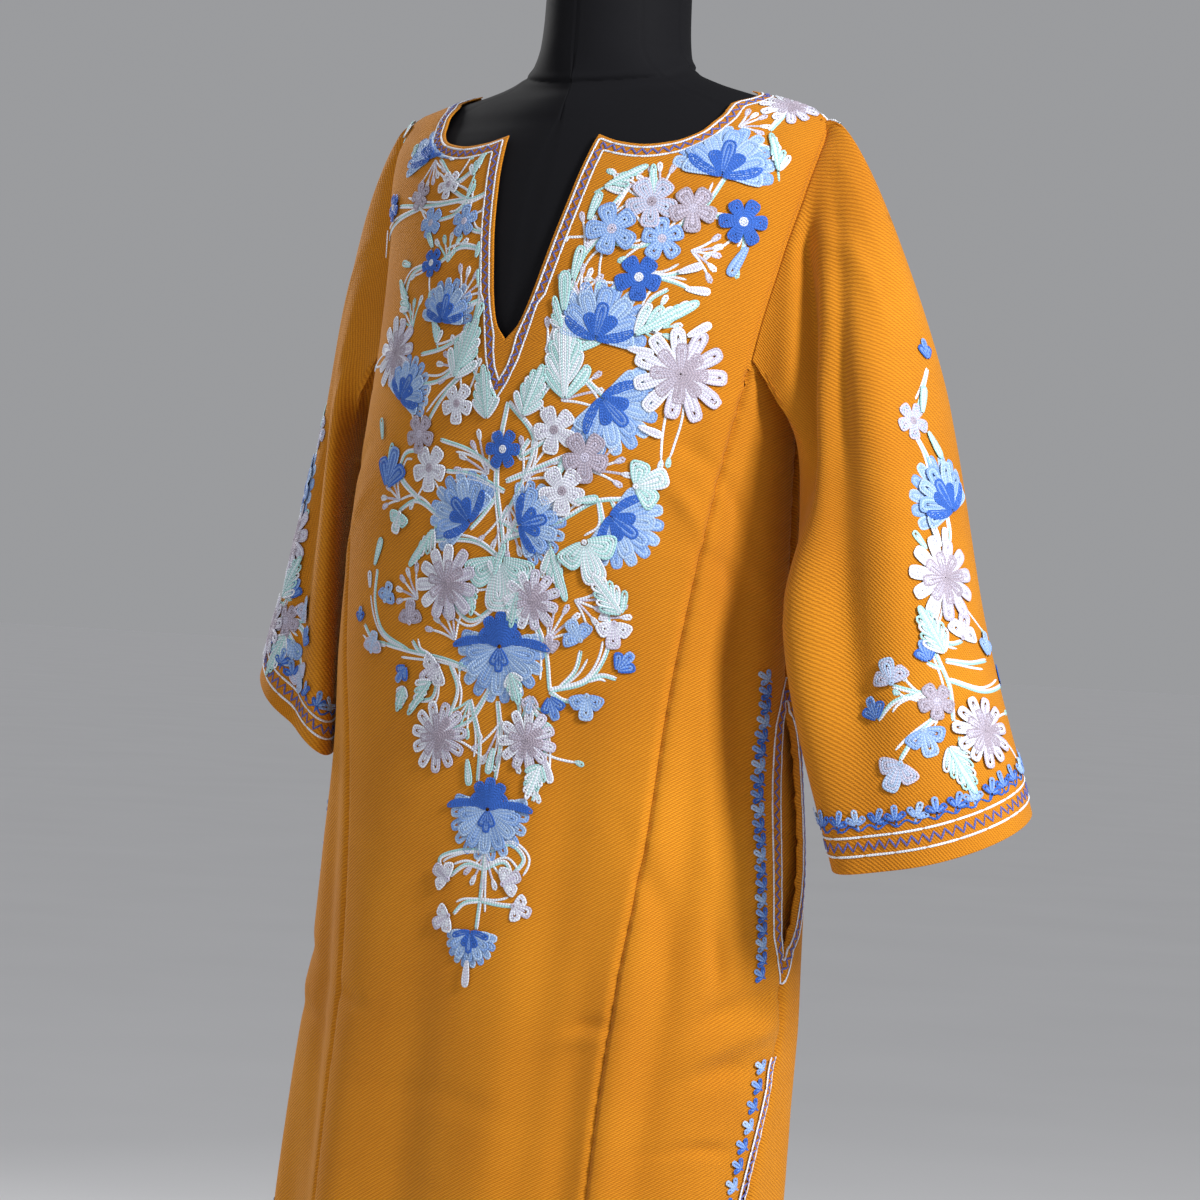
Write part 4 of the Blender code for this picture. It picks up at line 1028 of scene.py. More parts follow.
def motif(stitches, spot, kind, size, angle, palette):
    threads = PALETTES[palette]
    swapped = threads[::-1]
    size *= 1.16 if kind not in ("big", "fan", "blade", "rays") else 1.10
    stitches.raised = (stitches.raised + OVERLAP) % (2.5 * OVERLAP)
    if kind in ("five", "six", "daisy") and chance.random() < 0.8:
        tendrils(stitches, spot, size, chance.uniform(0, 360), 2)
    if kind in ("five", "six"):
        centre = "white" if palette == "r" else "grey" if palette in "wl" else "lilac"
        wheel(stitches, spot, size, angle, 5 + (kind == "six"), threads, threads, centre)
    elif kind == "daisy":
        wheel(stitches, spot, size, angle, 11, ("lilac", "white"), ("white", "lilac"), "grey")
        wheel(stitches, spot, size * 0.62, angle + 14, 8, ("grey",), ("grey", "lilac"), "grey", 2)
    elif kind in ("lotus", "cup", "big"):
        count = 9 if kind == "big" else 7
        spread = 190 if kind == "big" else 150
        fans = (("pale", "sky"), ("sky", "pale"))
        base = foot_of(spot, angle, size * (0.15 if kind == "big" else 0.55))
        full = size * (1.15 if kind == "big" else 1.5)
        for k in range(count + 3):
            lean = spread * 1.08 * (k / (count + 2) - 0.5)
            petal(stitches, base, angle + lean, size * 0.1, full * (0.98 - (lean / spread) ** 2 * 0.5),
                  full * 0.24, fans[k % 2], 0)
        spray(stitches, base, full * 0.86, angle, count, spread, full * 0.30, fans, 1)
        if kind == "big":
            spray(stitches, base, size * 0.75, angle + 180, 5, 105, size * 0.30, (("royal",),), 3)
            spray(stitches, base, size * 0.55, angle, 3, 40, size * 0.22, (("royal", "sky"),), 3)
            for side in (-1, 1):
                petal(stitches, base, angle + 180 - 62 * side, size * 0.25, size * 0.85,
                      size * 0.24, ("royal",), 2, 1.3, bend=-14 * side)
        else:
            deep = (("royal",), ("royal", "sky"))
            spray(stitches, base, full * 0.62, angle, 3, 52, full * 0.24, deep, 3, 1.4)
            for side in (-1, 1):
                petal(stitches, base, angle + 88 * side, 0.0, full * 0.66, full * 0.2,
                      ("royal",), 2, 1.3, bend=-12 * side)
    elif kind == "fan":
        base = foot_of(spot, angle, size / 2)
        side = 1 if size * 1e4 % 2 < 1 else -1
        feather(stitches, base, size, angle, (side,), 5, ("mint", "white"))
        petal(stitches, base, angle + 180, -0.002, size * 0.35, 0.0026, ("mint",), 0)
    elif kind == "blade":
        feather(stitches, foot_of(spot, angle, size / 2), size, angle, (-1, 1), 4,
                ("mint", "white") if palette == "a" else ("white", "mint"))
    elif kind == "tri":
        spray(stitches, spot, size * 1.15, angle, 3, 110, size * 0.72, (threads, swapped), 1)
        centre_dot(stitches, spot, 0.0014, threads[1], 2)
    elif kind == "bud":
        spray(stitches, spot, size * 1.2, angle, 3, 62, size * 0.5, (threads, swapped), 1)
    elif kind == "drop":
        petal(stitches, foot_of(spot, angle, size / 2), angle, 0.0, size, max(0.0055, size * 0.32),
              threads, 1, 1.5)
    elif kind == "rays":
        for k in range(5):
            way = math.radians(angle + (k - 2) * 15 + chance.uniform(-4, 4))
            aim, side = directions(spot, way)
            reach = size * chance.uniform(0.62, 0.9)
            t = np.linspace(0.02, 1, max(6, int(reach / 0.0022)))[:, None]
            bow = (k - 2) * 0.10
            stitches.line(spot.point + aim * reach * t + side * reach * bow * t * t, spot.normal,
                          threads[k % 2], 0)
            tip = spot._replace(point=spot.point + aim * reach + side * reach * bow)
            petal(stitches, tip, math.degrees(way) + 100 * bow, -0.002, 0.0095, 0.0046,
                  threads[:: 1 if k % 2 else -1], 0, 1.4)
    elif kind == "sprig":
        spray(stitches, spot, size, angle, 3, 100, size * 0.40, (threads, swapped), 1)
        petal(stitches, spot, angle + 180, -0.001, size * 0.55, 0.0018, threads, 0)


def stem(stitches, spots, threads=("mint", "white"), gap=0.0008):
    """Two lines side by side through the spots, as one smooth curve."""
    knots = np.array([spot.point for spot in spots])
    if len(knots) == 2:
        bow = np.cross(knots[1] - knots[0], spots[0].normal) * 0.14 * chance.choice((-1, 1))
        knots = np.array([knots[0], knots.mean(0) + bow, knots[1]])
    run = np.r_[0, np.cumsum(np.linalg.norm(np.diff(knots, axis=0), axis=1))]
    at = np.linspace(0, run[-1], max(4, int(run[-1] / 0.0022)))
    slopes = np.gradient(knots, run, axis=0)
    i = np.clip(np.searchsorted(run, at, side="right") - 1, 0, len(run) - 2)
    step = (run[i + 1] - run[i])[:, None]
    t = (at - run[i])[:, None] / step
    curve = hermite(knots[i], knots[i + 1], slopes[i] * step, slopes[i + 1] * step, t)
    facing = unit(np.mean([spot.normal for spot in spots], axis=0))
    side = unit(np.cross(facing, np.gradient(curve, axis=0)))
    stitches.line(curve - side * gap, facing, threads[0])
    stitches.line(curve + side * gap, facing, threads[1])
    flare = np.linspace(0, 1, len(curve))[:, None] ** 2
    sign = chance.choice((-1, 1))
    beside = curve + side * sign * (gap * 2 + flare * min(0.007, run[-1] * 0.25))
    if run[-1] > 0.02:
        stitches.line(beside[: int(len(beside) * chance.uniform(0.7, 0.95))], facing, "white")


# %% [markdown]
# ## The flowers of the front and the sleeves
# The front's spray stands on the centre below the slit and runs up both sides of it to the
# shoulders, and each sleeve has a column down its outside. Their places are listed from the
# photograph: a row is a kind, a place and a size in its pixels, an angle from upright, and
# its threads, and a stem is the pixels that it passes. The cloth is then seen through the
# photograph's camera, and each place goes to the point of the cloth that is seen there. The
# right sleeve's flowers are the left one's, mirrored.

# %% Places of the flowers on the photograph
FRONT_MOTIFS = [
    ("lotus", 432, 147, 28, -30, "a"), ("fan", 410, 129, 30, -40, "a"), ("drop", 457, 152, 18, 20, "w"),
    ("fan", 480, 163, 30, 10, "a"), ("five", 452, 186, 13, 0, "w"), ("five", 421, 198, 13, 20, "g"),
    ("five", 395, 207, 12, 0, "r"), ("five", 431, 224, 14, 10, "s"), ("five", 466, 221, 14, 30, "s"),
    ("drop", 388, 244, 25, 200, "w"), ("five", 432, 263, 13, 0, "r"), ("drop", 409, 265, 18, -80, "m"),
    ("drop", 480, 250, 16, 10, "m"), ("drop", 481, 278, 16, -10, "m"), ("lotus", 448, 306, 25, 5, "a"),
    ("fan", 405, 294, 40, -45, "a"), ("blade", 467, 347, 60, 20, "a"), ("daisy", 396, 354, 30, 0, "h"),
    ("lotus", 409, 386, 26, 30, "a"), ("five", 458, 404, 17, 0, "w"), ("blade", 487, 390, 50, -10, "a"),
    ("blade", 533, 390, 50, 20, "a"), ("fan", 627, 175, 45, 60, "a"), ("five", 652, 202, 22, 0, "l"),
    ("five", 613, 230, 22, 15, "s"), ("five", 665, 239, 19, 30, "s"), ("five", 694, 209, 20, 0, "g"),
    ("drop", 594, 207, 28, 15, "m"), ("drop", 579, 262, 30, 10, "m"), ("drop", 565, 290, 35, -5, "m"),
    ("five", 641, 278, 20, 0, "r"), ("drop", 690, 270, 22, 70, "w"), ("drop", 700, 290, 22, 95, "w"),
    ("lotus", 602, 319, 33, 10, "a"), ("fan", 668, 317, 65, 60, "a"), ("blade", 564, 356, 75, -5, "w"),
    ("daisy", 680, 375, 40, 10, "h"), ("lotus", 617, 414, 33, 135, "a"),
    ("lotus", 727, 157, 34, 10, "a"), ("six", 743, 222, 20, 0, "r"), ("drop", 737, 262, 30, 210, "s"),
    ("fan", 775, 150, 40, -10, "a"), ("daisy", 790, 105, 26, 0, "h"), ("five", 420, 433, 17, 0, "g"),
    ("six", 506, 449, 17, 0, "r"), ("five", 555, 430, 20, 10, "w"), ("five", 587, 458, 21, 0, "g"),
    ("five", 432, 468, 20, 0, "w"), ("five", 563, 492, 21, 0, "w"), ("cup", 462, 509, 30, -45, "a"),
    ("bud", 388, 488, 30, 15, "b"), ("drop", 390, 453, 20, 10, "m"), ("tri", 401, 514, 16, 200, "m"),
    ("fan", 423, 548, 45, -140, "a"), ("cup", 535, 522, 28, 75, "a"), ("cup", 627, 527, 30, 125, "a"),
    ("tri", 638, 486, 25, 70, "m"), ("tri", 586, 543, 30, 160, "m"), ("tri", 499, 559, 38, 180, "m"),
    ("daisy", 446, 584, 33, 20, "h"), ("fan", 560, 575, 50, 160, "a"),
    ("daisy", 535, 600, 26, -10, "h"), ("blade", 606, 593, 45, -40, "w"),
    ("tri", 614, 623, 18, 180, "w"), ("tri", 581, 639, 17, -35, "s"), ("bud", 553, 655, 15, -10, "g"),
    ("bud", 617, 671, 17, 40, "b"), ("tri", 587, 697, 18, 180, "s"), ("bud", 549, 697, 17, 160, "b"),
    ("bud", 532, 694, 13, 190, "l"), ("big", 499, 655, 42, 180, "a"), ("tri", 440, 665, 20, -130, "w"),
    ("bud", 409, 665, 14, 220, "b"), ("tri", 410, 623, 17, 0, "g"), ("tri", 387, 600, 14, 20, "s"),
    ("drop", 371, 580, 15, -10, "w"), ("bud", 361, 621, 12, 0, "b"), ("tri", 374, 651, 15, 10, "l"),
    ("drop", 379, 552, 26, 20, "m"), ("fan", 420, 697, 42, -140, "a"), ("daisy", 437, 735, 30, 0, "h"),
    ("daisy", 527, 740, 26, 20, "h"), ("drop", 490, 760, 24, 190, "m"),
    ("drop", 470, 772, 24, 170, "m"), ("blade", 533, 782, 34, 200, "w"),
    ("drop", 548, 770, 24, 160, "w"), ("big", 487, 815, 38, 180, "a"), ("tri", 450, 880, 16, -60, "w"),
    ("tri", 505, 885, 16, 60, "w"), ("tri", 450, 915, 16, -120, "w"), ("tri", 515, 905, 15, 110, "w"),
    ("lotus", 470, 945, 20, 180, "a"), ("drop", 467, 975, 24, 180, "w"),
    ("rays", 524, 482, 45, 38, "w"), ("rays", 486, 474, 44, -38, "w"), ("rays", 508, 505, 52, 180, "w"),
    ("rays", 505, 560, 40, 150, "m"), ("rays", 560, 402, 48, 55, "w"), ("rays", 545, 352, 40, 40, "w"),
    ("rays", 470, 372, 44, -60, "w"), ("rays", 448, 262, 30, 0, "m"), ("rays", 663, 195, 36, -30, "w"),
    ("rays", 738, 128, 26, 60, "w"), ("rays", 585, 250, 40, 30, "w"), ("rays", 460, 300, 30, 30, "w"),
    ("rays", 548, 640, 36, 30, "w"), ("rays", 455, 640, 36, -30, "w"), ("rays", 500, 720, 50, 180, "w"),
    ("rays", 530, 700, 40, 160, "m"), ("rays", 470, 700, 40, -160, "m"),
    ("rays", 600, 620, 30, 60, "w"), ("rays", 487, 850, 34, 180, "w"), ("rays", 640, 330, 36, 80, "m"),
    ("rays", 690, 250, 30, 100, "w"), ("rays", 412, 330, 30, -30, "m"),
    ("rays", 435, 160, 26, 160, "w"), ("rays", 582, 300, 34, -5, "w"), ("rays", 400, 500, 26, -60, "w"),
    ("rays", 590, 470, 40, 70, "w"), ("rays", 420, 600, 34, -50, "w"), ("rays", 575, 600, 30, 110, "w"),
    ("drop", 650, 430, 22, 110, "w"), ("drop", 590, 345, 26, 60, "m"), ("drop", 640, 350, 24, 100, "w"),
    ("drop", 700, 330, 24, 60, "w"), ("drop", 432, 240, 18, -40, "m"), ("drop", 473, 188, 18, 10, "m"),
    ("drop", 415, 150, 16, -30, "m"), ("drop", 479, 312, 20, 20, "m"), ("drop", 560, 470, 22, 30, "m"),
    ("drop", 385, 430, 20, -20, "m"), ("drop", 585, 500, 22, 80, "m"), ("fan", 655, 178, 30, -10, "a"),
    ("fan", 560, 312, 30, -20, "a"), ("blade", 470, 600, 30, 170, "a"),
    ("blade", 515, 610, 34, 190, "a"), ("fan", 435, 330, 28, -20, "a"),
    ("blade", 515, 690, 30, 160, "a"), ("blade", 400, 700, 24, 200, "a"),
    ("fan", 500, 560, 30, 20, "a"),
]
FRONT_STEMS = [
    [(510, 402), (499, 440), (497, 480), (503, 530), (505, 600), (500, 640)],
    [(510, 402), (533, 440), (523, 480), (505, 520)], [(497, 500), (480, 520), (470, 530)],
    [(500, 520), (520, 530), (528, 535)], [(497, 470), (470, 450), (440, 440)],
    [(505, 490), (470, 475), (446, 470)], [(505, 480), (540, 465), (570, 455)],
    [(530, 440), (520, 455), (545, 440)], [(503, 540), (560, 520), (600, 500), (625, 500)],
    [(600, 500), (600, 530), (590, 545)], [(503, 545), (540, 500), (560, 495)],
    [(612, 500), (625, 515)], [(500, 560), (480, 545), (430, 540)],
    [(420, 500), (400, 470), (405, 455), (420, 450)], [(445, 520), (415, 500), (400, 510)],
    [(503, 600), (470, 620), (450, 600)], [(505, 600), (530, 615), (545, 640), (550, 690)],
    [(500, 640), (520, 620), (535, 610)], [(549, 690), (590, 680), (610, 640), (606, 610)],
    [(590, 680), (617, 680)], [(560, 690), (575, 670), (580, 650)], [(549, 690), (580, 700)],
    [(490, 680), (450, 660), (410, 650), (385, 645)], [(410, 650), (380, 625), (375, 600), (378, 570)],
    [(430, 655), (412, 640)], [(385, 645), (365, 625)], [(450, 665), (460, 690), (450, 715)],
    [(440, 665), (430, 700), (420, 700)], [(500, 700), (503, 740), (495, 780)],
    [(520, 700), (540, 720), (545, 770), (535, 800)], [(470, 700), (480, 740), (478, 780)],
    [(490, 690), (470, 720), (452, 730)], [(510, 690), (520, 720)],
    [(487, 850), (485, 880), (478, 930)], [(485, 870), (465, 865), (450, 875)],
    [(485, 870), (505, 862), (512, 880)], [(482, 900), (465, 905), (455, 915)],
    [(482, 900), (500, 905), (512, 905)], [(481, 850), (460, 850), (440, 860), (448, 880)],
    [(490, 850), (510, 845), (525, 858), (510, 880)], [(497, 245), (480, 300), (470, 350), (485, 400)],
    [(480, 300), (455, 300)], [(482, 250), (440, 262)], [(488, 230), (466, 221)],
    [(476, 325), (440, 350), (420, 355)], [(470, 350), (440, 380), (420, 386)],
    [(470, 365), (440, 400), (425, 430)], [(490, 190), (470, 200), (452, 190)],
    [(470, 200), (435, 205), (400, 207)], [(470, 200), (440, 220)],
    [(480, 163), (460, 180), (440, 160)], [(420, 210), (395, 225), (388, 240)],
    [(432, 263), (410, 280), (405, 294)], [(535, 400), (560, 370), (580, 330), (600, 300), (640, 270)],
    [(545, 350), (570, 290), (590, 250), (613, 230)], [(590, 250), (620, 215), (652, 202)],
    [(600, 240), (640, 245), (665, 239)], [(640, 245), (680, 225), (694, 209)],
    [(690, 230), (710, 200), (727, 175)], [(700, 215), (725, 215), (743, 222)],
    [(743, 222), (745, 245), (738, 262)], [(640, 270), (660, 275), (690, 270)],
    [(650, 275), (680, 285), (700, 293)], [(600, 325), (640, 320), (668, 317)],
    [(575, 340), (600, 325)], [(620, 340), (650, 355), (680, 375)],
    [(575, 370), (600, 395), (617, 414)], [(640, 330), (650, 300), (668, 290)],
    [(740, 150), (760, 145), (775, 150)], [(770, 130), (785, 115), (790, 105)],
    [(627, 185), (615, 200), (600, 215)],
]
SLEEVE_MOTIFS = [
    ("bud", 928, 361, 12, 0, "b"), ("drop", 922, 398, 24, 20, "m"), ("five", 913, 423, 14, 0, "l"),
    ("drop", 935, 445, 24, 150, "m"), ("lotus", 941, 492, 29, -30, "a"),
    ("drop", 945, 540, 21, 10, "w"), ("drop", 936, 536, 20, -20, "w"), ("drop", 919, 538, 18, -40, "m"),
    ("daisy", 944, 579, 33, 0, "h"), ("blade", 931, 628, 36, -30, "a"), ("tri", 963, 638, 15, 20, "w"),
    ("bud", 987, 658, 14, 10, "s"), ("bud", 1001, 683, 14, 60, "b"), ("bud", 928, 661, 12, -20, "b"),
    ("tri", 892, 684, 14, -20, "l"), ("five", 938, 701, 15, 0, "g"), ("bud", 878, 722, 13, -30, "b"),
    ("tri", 924, 732, 15, 160, "s"), ("tri", 903, 763, 16, 200, "l"), ("daisy", 983, 732, 28, 0, "h"),
    ("blade", 964, 773, 36, 150, "a"),
]
SLEEVE_STEMS = [
    [(928, 370), (921, 395), (915, 420)], [(917, 435), (926, 450), (935, 470), (940, 485)],
    [(938, 505), (934, 530), (940, 560)], [(946, 505), (950, 530), (947, 560)],
    [(941, 600), (935, 640), (950, 690), (955, 720)], [(938, 640), (955, 645), (963, 640)],
    [(945, 660), (970, 665), (986, 660)], [(950, 680), (980, 690), (1000, 686)],
    [(945, 665), (935, 665), (928, 663)], [(950, 690), (920, 690), (892, 686)],
    [(945, 695), (938, 700)], [(920, 690), (895, 705), (878, 720)],
    [(945, 705), (930, 720), (924, 730)], [(940, 715), (915, 740), (902, 760)],
    [(955, 720), (970, 725), (983, 730)], [(960, 735), (962, 755), (964, 770)],
]

# %% From the photograph to the cloth
PIXELS_PER_METRE, CAMERA_FAR, CAMERA_Z, PHOTO_TILT = 1270, 3.5, 0.993, math.radians(3)
TOWARD_CAMERA = np.array([0.5446, -0.8387, 0.0])
MIDDLE_PIXEL, CAMERA_PIXEL, NECK_PIXEL, GRAZING = 615, 600, 93, 0.02
# The sleeve's flowers are worked larger than listed, the small kinds the most.
GROWTH, SMALL_GROWTH, SMALL_KINDS = 1.12, 1.35, ("blade", "bud", "tri")


def seen(points):
    """Where the photograph's camera sees the points, in its pixels, and how much larger it
    sees them than what is as far away as the middle."""
    across = points[..., 1] * TOWARD_CAMERA[0] - points[..., 0] * TOWARD_CAMERA[1]
    scale = CAMERA_FAR / (CAMERA_FAR - points @ TOWARD_CAMERA)
    x = PIXELS_PER_METRE * across * scale
    y = CAMERA_PIXEL - NECK_PIXEL - PIXELS_PER_METRE * (points[..., 2] - CAMERA_Z) * scale
    c, s = math.cos(PHOTO_TILT), math.sin(PHOTO_TILT)
    return np.stack([MIDDLE_PIXEL + x * c - y * s, NECK_PIXEL + x * s + y * c], -1), scale


def on_cloth(motifs, stems, points, normals, turns, downs, step):
    """The motifs and stems with their pixels turned into the turn and height, or the turn and
    share of a sleeve, of the nearest point of the cloth, and with sizes in millimetres."""
    pixels, scale = seen(points)
    # Cloth that is turned away from the camera counts as a thousand pixels further off.
    hidden = np.where(normals @ TOWARD_CAMERA < GRAZING, 1000, 0)

    def find(x, y):
        away = np.hypot(pixels[..., 0] - x, pixels[..., 1] - y) + hidden
        i = np.unravel_index(np.argmin(away), away.shape)
        # A turn is kept to a tenth and then to a whole degree.
        turn, down = round(turns[i], 1), round(round(downs[i] / step) * step, 3)
        return round(turn), down, scale[i]

    rows = []
    for kind, x, y, size, angle, palette in motifs:
        turn, down, nearness = find(x, y)
        size = round(1000 * size / PIXELS_PER_METRE / nearness)
        rows.append((kind, turn, down, size, angle, palette))
    return rows, [[find(x, y)[:2] for x, y in line] for line in stems]


def doubled(grid):
    """The grid with a point added halfway between each two."""
    for axis in (0, 1):
        grid = np.moveaxis(grid, axis, 0)
        finer = np.repeat(grid, 2, 0)[:-1].astype(float)
        finer[1::2] = (grid[:-1] + grid[1:]) / 2
        grid = np.moveaxis(finer, 0, axis)
    return grid


turn, z = np.meshgrid(np.arange(-10, 171, 0.25), np.arange(0.30, 1.39, 0.002))
front_motifs, front_stems = on_cloth(
    FRONT_MOTIFS, FRONT_STEMS, body(turn, z), body_normal(turn, z), turn, z, 0.002
)
larger = [
    (kind, x, y, round(size * (SMALL_GROWTH if kind in SMALL_KINDS else GROWTH)), angle, palette)
    for kind, x, y, size, angle, palette in SLEEVE_MOTIFS
]
shares, turn = np.meshgrid(SLEEVE_ROWS, left_turns, indexing="ij")
sleeve = [left_out[TUCK_ROWS:], left_normals[TUCK_ROWS:], turn, shares]
sleeve_motifs, sleeve_stems = on_cloth(
    larger, SLEEVE_STEMS, *(doubled(grid) for grid in sleeve), 0.005
)
print("motifs", len(front_motifs), len(sleeve_motifs), "stems", len(front_stems))


# %% Stitching the flowers
def stitch(name, motifs, stems, place, limit=None):
    stitches = Stitches(name, limit)
    for line in stems:
        stem(stitches, [place(a, b) for a, b in line])
    for kind, a, b, size, angle, palette in motifs:
        motif(stitches, place(a, b), kind, size / 1000, angle, palette)
    return stitches.made()


# %% Stitching the sleeves
def on_sleeve(outside, normals, turns):
    """Places on a sleeve, from its turn and how far down it is."""

    def place(turn, along):
        row = TUCK_ROWS + np.interp(along, SLEEVE_ROWS, np.arange(len(SLEEVE_ROWS)))
        column = np.interp(turn % 360, turns, np.arange(len(turns)))
        i, j = int(row), int(column)
        i = min(i, len(outside) - 2)
        following = (j + 1) % len(turns)
        u, v = column - j, row - i
        point = (
            outside[i, j] * (1 - u) * (1 - v) + outside[i, following] * u * (1 - v)
            + outside[i + 1, j] * (1 - u) * v + outside[i + 1, following] * u * v
        )
        return spot_at(point, normals[i, j])

    return place


left_place = on_sleeve(left_out, left_normals, left_turns)
right_place = on_sleeve(right_out, right_normals, right_turns)
mirrored = [(*row[:4], -row[4], row[5]) for row in sleeve_motifs]
left_flowers = stitch("flowers_sleeve_left", sleeve_motifs, sleeve_stems, left_place)
right_flowers = stitch("flowers_sleeve_right", mirrored, sleeve_stems, right_place)

# %% [markdown]
# ## Bands along the edges
# Two white lines with a blue zigzag between them run round the neckline and slit, the cuffs,
# the pockets and down the vents, and small sprigs stand along most of them. Each follows its
# own edge of the cloth at a set distance, so all are made from the edges' points.

# %% Bands, zigzags and sprigs
BAND_WIDTH, ZIGZAG_WAVE, ZIGZAG_HEIGHT, SPRIG_THREADS = 0.0017, 0.0085, 0.0023, "bbs"
# How far each line lies from its edge, in metres. The cuff's zigzag, wavy stem and sprigs have
# their step beside their distance, and the heights say how far zigzag and stem swing.
NECK_LINES, NECK_CLEAR, POCKET_LINES, VENT_LINES = (
    (0.0035, 0.0115), 0.0135, (0.0050, 0.0150), (0.0025, 0.0085)
)
CUFF_LINES, CUFF_ZIGZAG, CUFF_STEM, CUFF_SPRIGS = (
    (0.0130, 0.0270), (0.0200, 0.0021), (0.0335, 0.0020), (0.0355, 0.0145)
)
CUFF_ZIGZAG_HEIGHT, CUFF_STEM_HEIGHT, CUFF_SPRIG, SIDE_SPRIG = 0.0035, 0.0020, 0.0112, 0.0090


def even(points, step=0.0020):
    """The same path with even steps."""
    points = np.asarray(points, float)
    run = np.r_[0, np.cumsum(np.linalg.norm(np.diff(points, axis=0), axis=1))]
    at = np.linspace(0, run[-1], max(3, int(run[-1] / step)))
    return np.stack([np.interp(at, run, points[:, c]) for c in range(3)], -1)


def facing_of(points):
    """The cloth's outward direction at each point."""
    normals = []
    for point in points:
        _, normal, _, _ = cloth.find_nearest(Vector(point))
        outward = Vector((point[0], point[1] * 1.6, 0.05))
        normals.append(normal if normal.dot(outward) > 0 else -normal)
    return np.array(normals)


def long_line(stitches, points, facing, thread, width=LINE_WIDTH, layer=1):
    """A long line, laid in pieces so that each piece has one facing."""
    for k in range(0, len(points) - 1, 12):
        part = points[k : k + 13]
        if len(part) > 2:
            stitches.line(part, unit(facing[k : k + 13].mean(0)), thread, layer, width)


def swinging(stitches, points, facing, swing, thread, width):
    """A long line that swings to both sides of a path."""
    side = unit(np.cross(facing, np.gradient(points, axis=0)))
    long_line(stitches, points + side * swing[:, None], facing, thread, width)


def zigzags(count, height):
    """Swings up and down in four steps."""
    return np.array([0, 1, 0, -1])[np.arange(count) % 4] * height


def band(stitches, inner, outer):
    """White lines along both curves and a zigzag between them."""
    middle = even(inner)
    other = even(outer)
    share = np.linspace(0, 1, len(middle))
    pick = np.linspace(0, 1, len(other))
    halfway = np.stack([np.interp(share, pick, other[:, c]) for c in range(3)], -1)
    fine = even((middle + halfway) / 2, ZIGZAG_WAVE / 4)
    swing = zigzags(len(fine), ZIGZAG_HEIGHT)
    swinging(stitches, fine, facing_of(fine), swing, "violet", BAND_WIDTH)
    for line in (middle, other):
        long_line(stitches, line, facing_of(line), "white", BAND_WIDTH)


# %% The neckline and the slit
INNER_V = [(0.0, 1.1564), (0.0058, 1.1670), (0.0090, 1.1790), (0.0105, 1.1908), (0.0185, 1.2130)]
OUTER_V = [(0.0, 1.1427), (0.0075, 1.1550), (0.0145, 1.1725), (0.0190, 1.1908), (0.0245, 1.2160)]


def edge_offset(edge, distance):
    """The path at a distance inside the cloth from a free edge."""
    facing = facing_of(edge)
    along = np.gradient(edge, axis=0)
    inside = unit(np.cross(along, facing))
    moved = edge + inside * distance
    gaps = np.linalg.norm(moved[:, None] - edge[None], axis=-1).min(1)
    return moved[gaps > abs(distance) * 0.97]


def neck_path(distance, below, mirror):
    """Half of a line round the neckline: up from the V's point, along the slit, to the back."""

    def on_body(turn, z):
        return body(180 - turn if mirror else turn, z)

    front_grid, back_grid = on_body(*front), on_body(*back)
    slit_edge = front_grid[:slit_rows, 0][::-1]
    neck_edge = front_grid[0, 1:]
    neck_edge = neck_edge[: int(np.argmax(neck_edge[:, 2])) + 1]
    back_edge = back_grid[0][: int(np.argmax(back_grid[0][:, 2])) + 1][::-1]
    edge = even(np.concatenate([slit_edge, neck_edge, back_edge]), 0.0022)
    moved = edge_offset(edge, -distance if mirror else distance)
    if abs(moved[len(moved) // 5, 0]) < abs(edge[len(edge) // 5, 0]):
        moved = edge_offset(edge, distance if mirror else -distance)
    v_x, v_z = np.array(below).T
    keep = (moved[:, 2] > v_z[-1] + 0.006) | (np.arange(len(moved)) > len(moved) // 3)
    return np.concatenate([on_body(turn_at(v_x, v_z), v_z), moved[keep]])


neck = Stitches("band_neck")
for mirror in (False, True):
    inner, outer = NECK_LINES
    band(neck, neck_path(inner, INNER_V, mirror), neck_path(outer, OUTER_V, mirror))
neck_band = neck.made()

# %% The front's flowers, kept clear of the neckline's band
YOKE_Z, YOKE_STEM_Z = 1.09, 1.16
lines, ways = [], []
for mirror in (False, True):
    line = neck_path(NECK_CLEAR, OUTER_V, mirror)
    inner = neck_path(NECK_LINES[0], INNER_V, mirror)
    near = np.argmin(np.linalg.norm(line[:, None] - inner[None], axis=2), axis=1)
    lines.append(line)
    ways.append(unit(line - inner[near]))
neck_limit = np.concatenate(lines), np.concatenate(ways)
yoke = [row for row in front_motifs if row[2] > YOKE_Z]
panel = [row for row in front_motifs if row[2] <= YOKE_Z]
high = [line for line in front_stems if line[0][1] > YOKE_STEM_Z]
low = [line for line in front_stems if line[0][1] <= YOKE_STEM_Z]
yoke_flowers = stitch("flowers_yoke", yoke, high, on_front, neck_limit)
panel_flowers = stitch("flowers_panel", panel, low, on_front, neck_limit)

# %% The cuffs, pockets and vents
def cuff_path(outside, distance):
    """A ring round a sleeve, at a distance above its edge."""
    lines = []
    for column in range(outside.shape[1]):
        line = outside[: TUCK_ROWS - 1 : -1, column]
        run = np.r_[0, np.cumsum(np.linalg.norm(np.diff(line, axis=0), axis=1))]
        lines.append([np.interp(distance, run, line[:, c]) for c in range(3)])
    return np.array(lines + lines[:1])


def outward_from(path):
    return unit(path - path.mean(0))


def sprigs(stitches, points, facing, size, leans):
    """A sprig at each point, leaning by one angle after the other."""
    for k, (point, normal) in enumerate(zip(points, facing)):
        lean, threads = leans[k % len(leans)], SPRIG_THREADS[k % len(SPRIG_THREADS)]
        motif(stitches, spot_at(point, normal), "sprig", size, lean, threads)


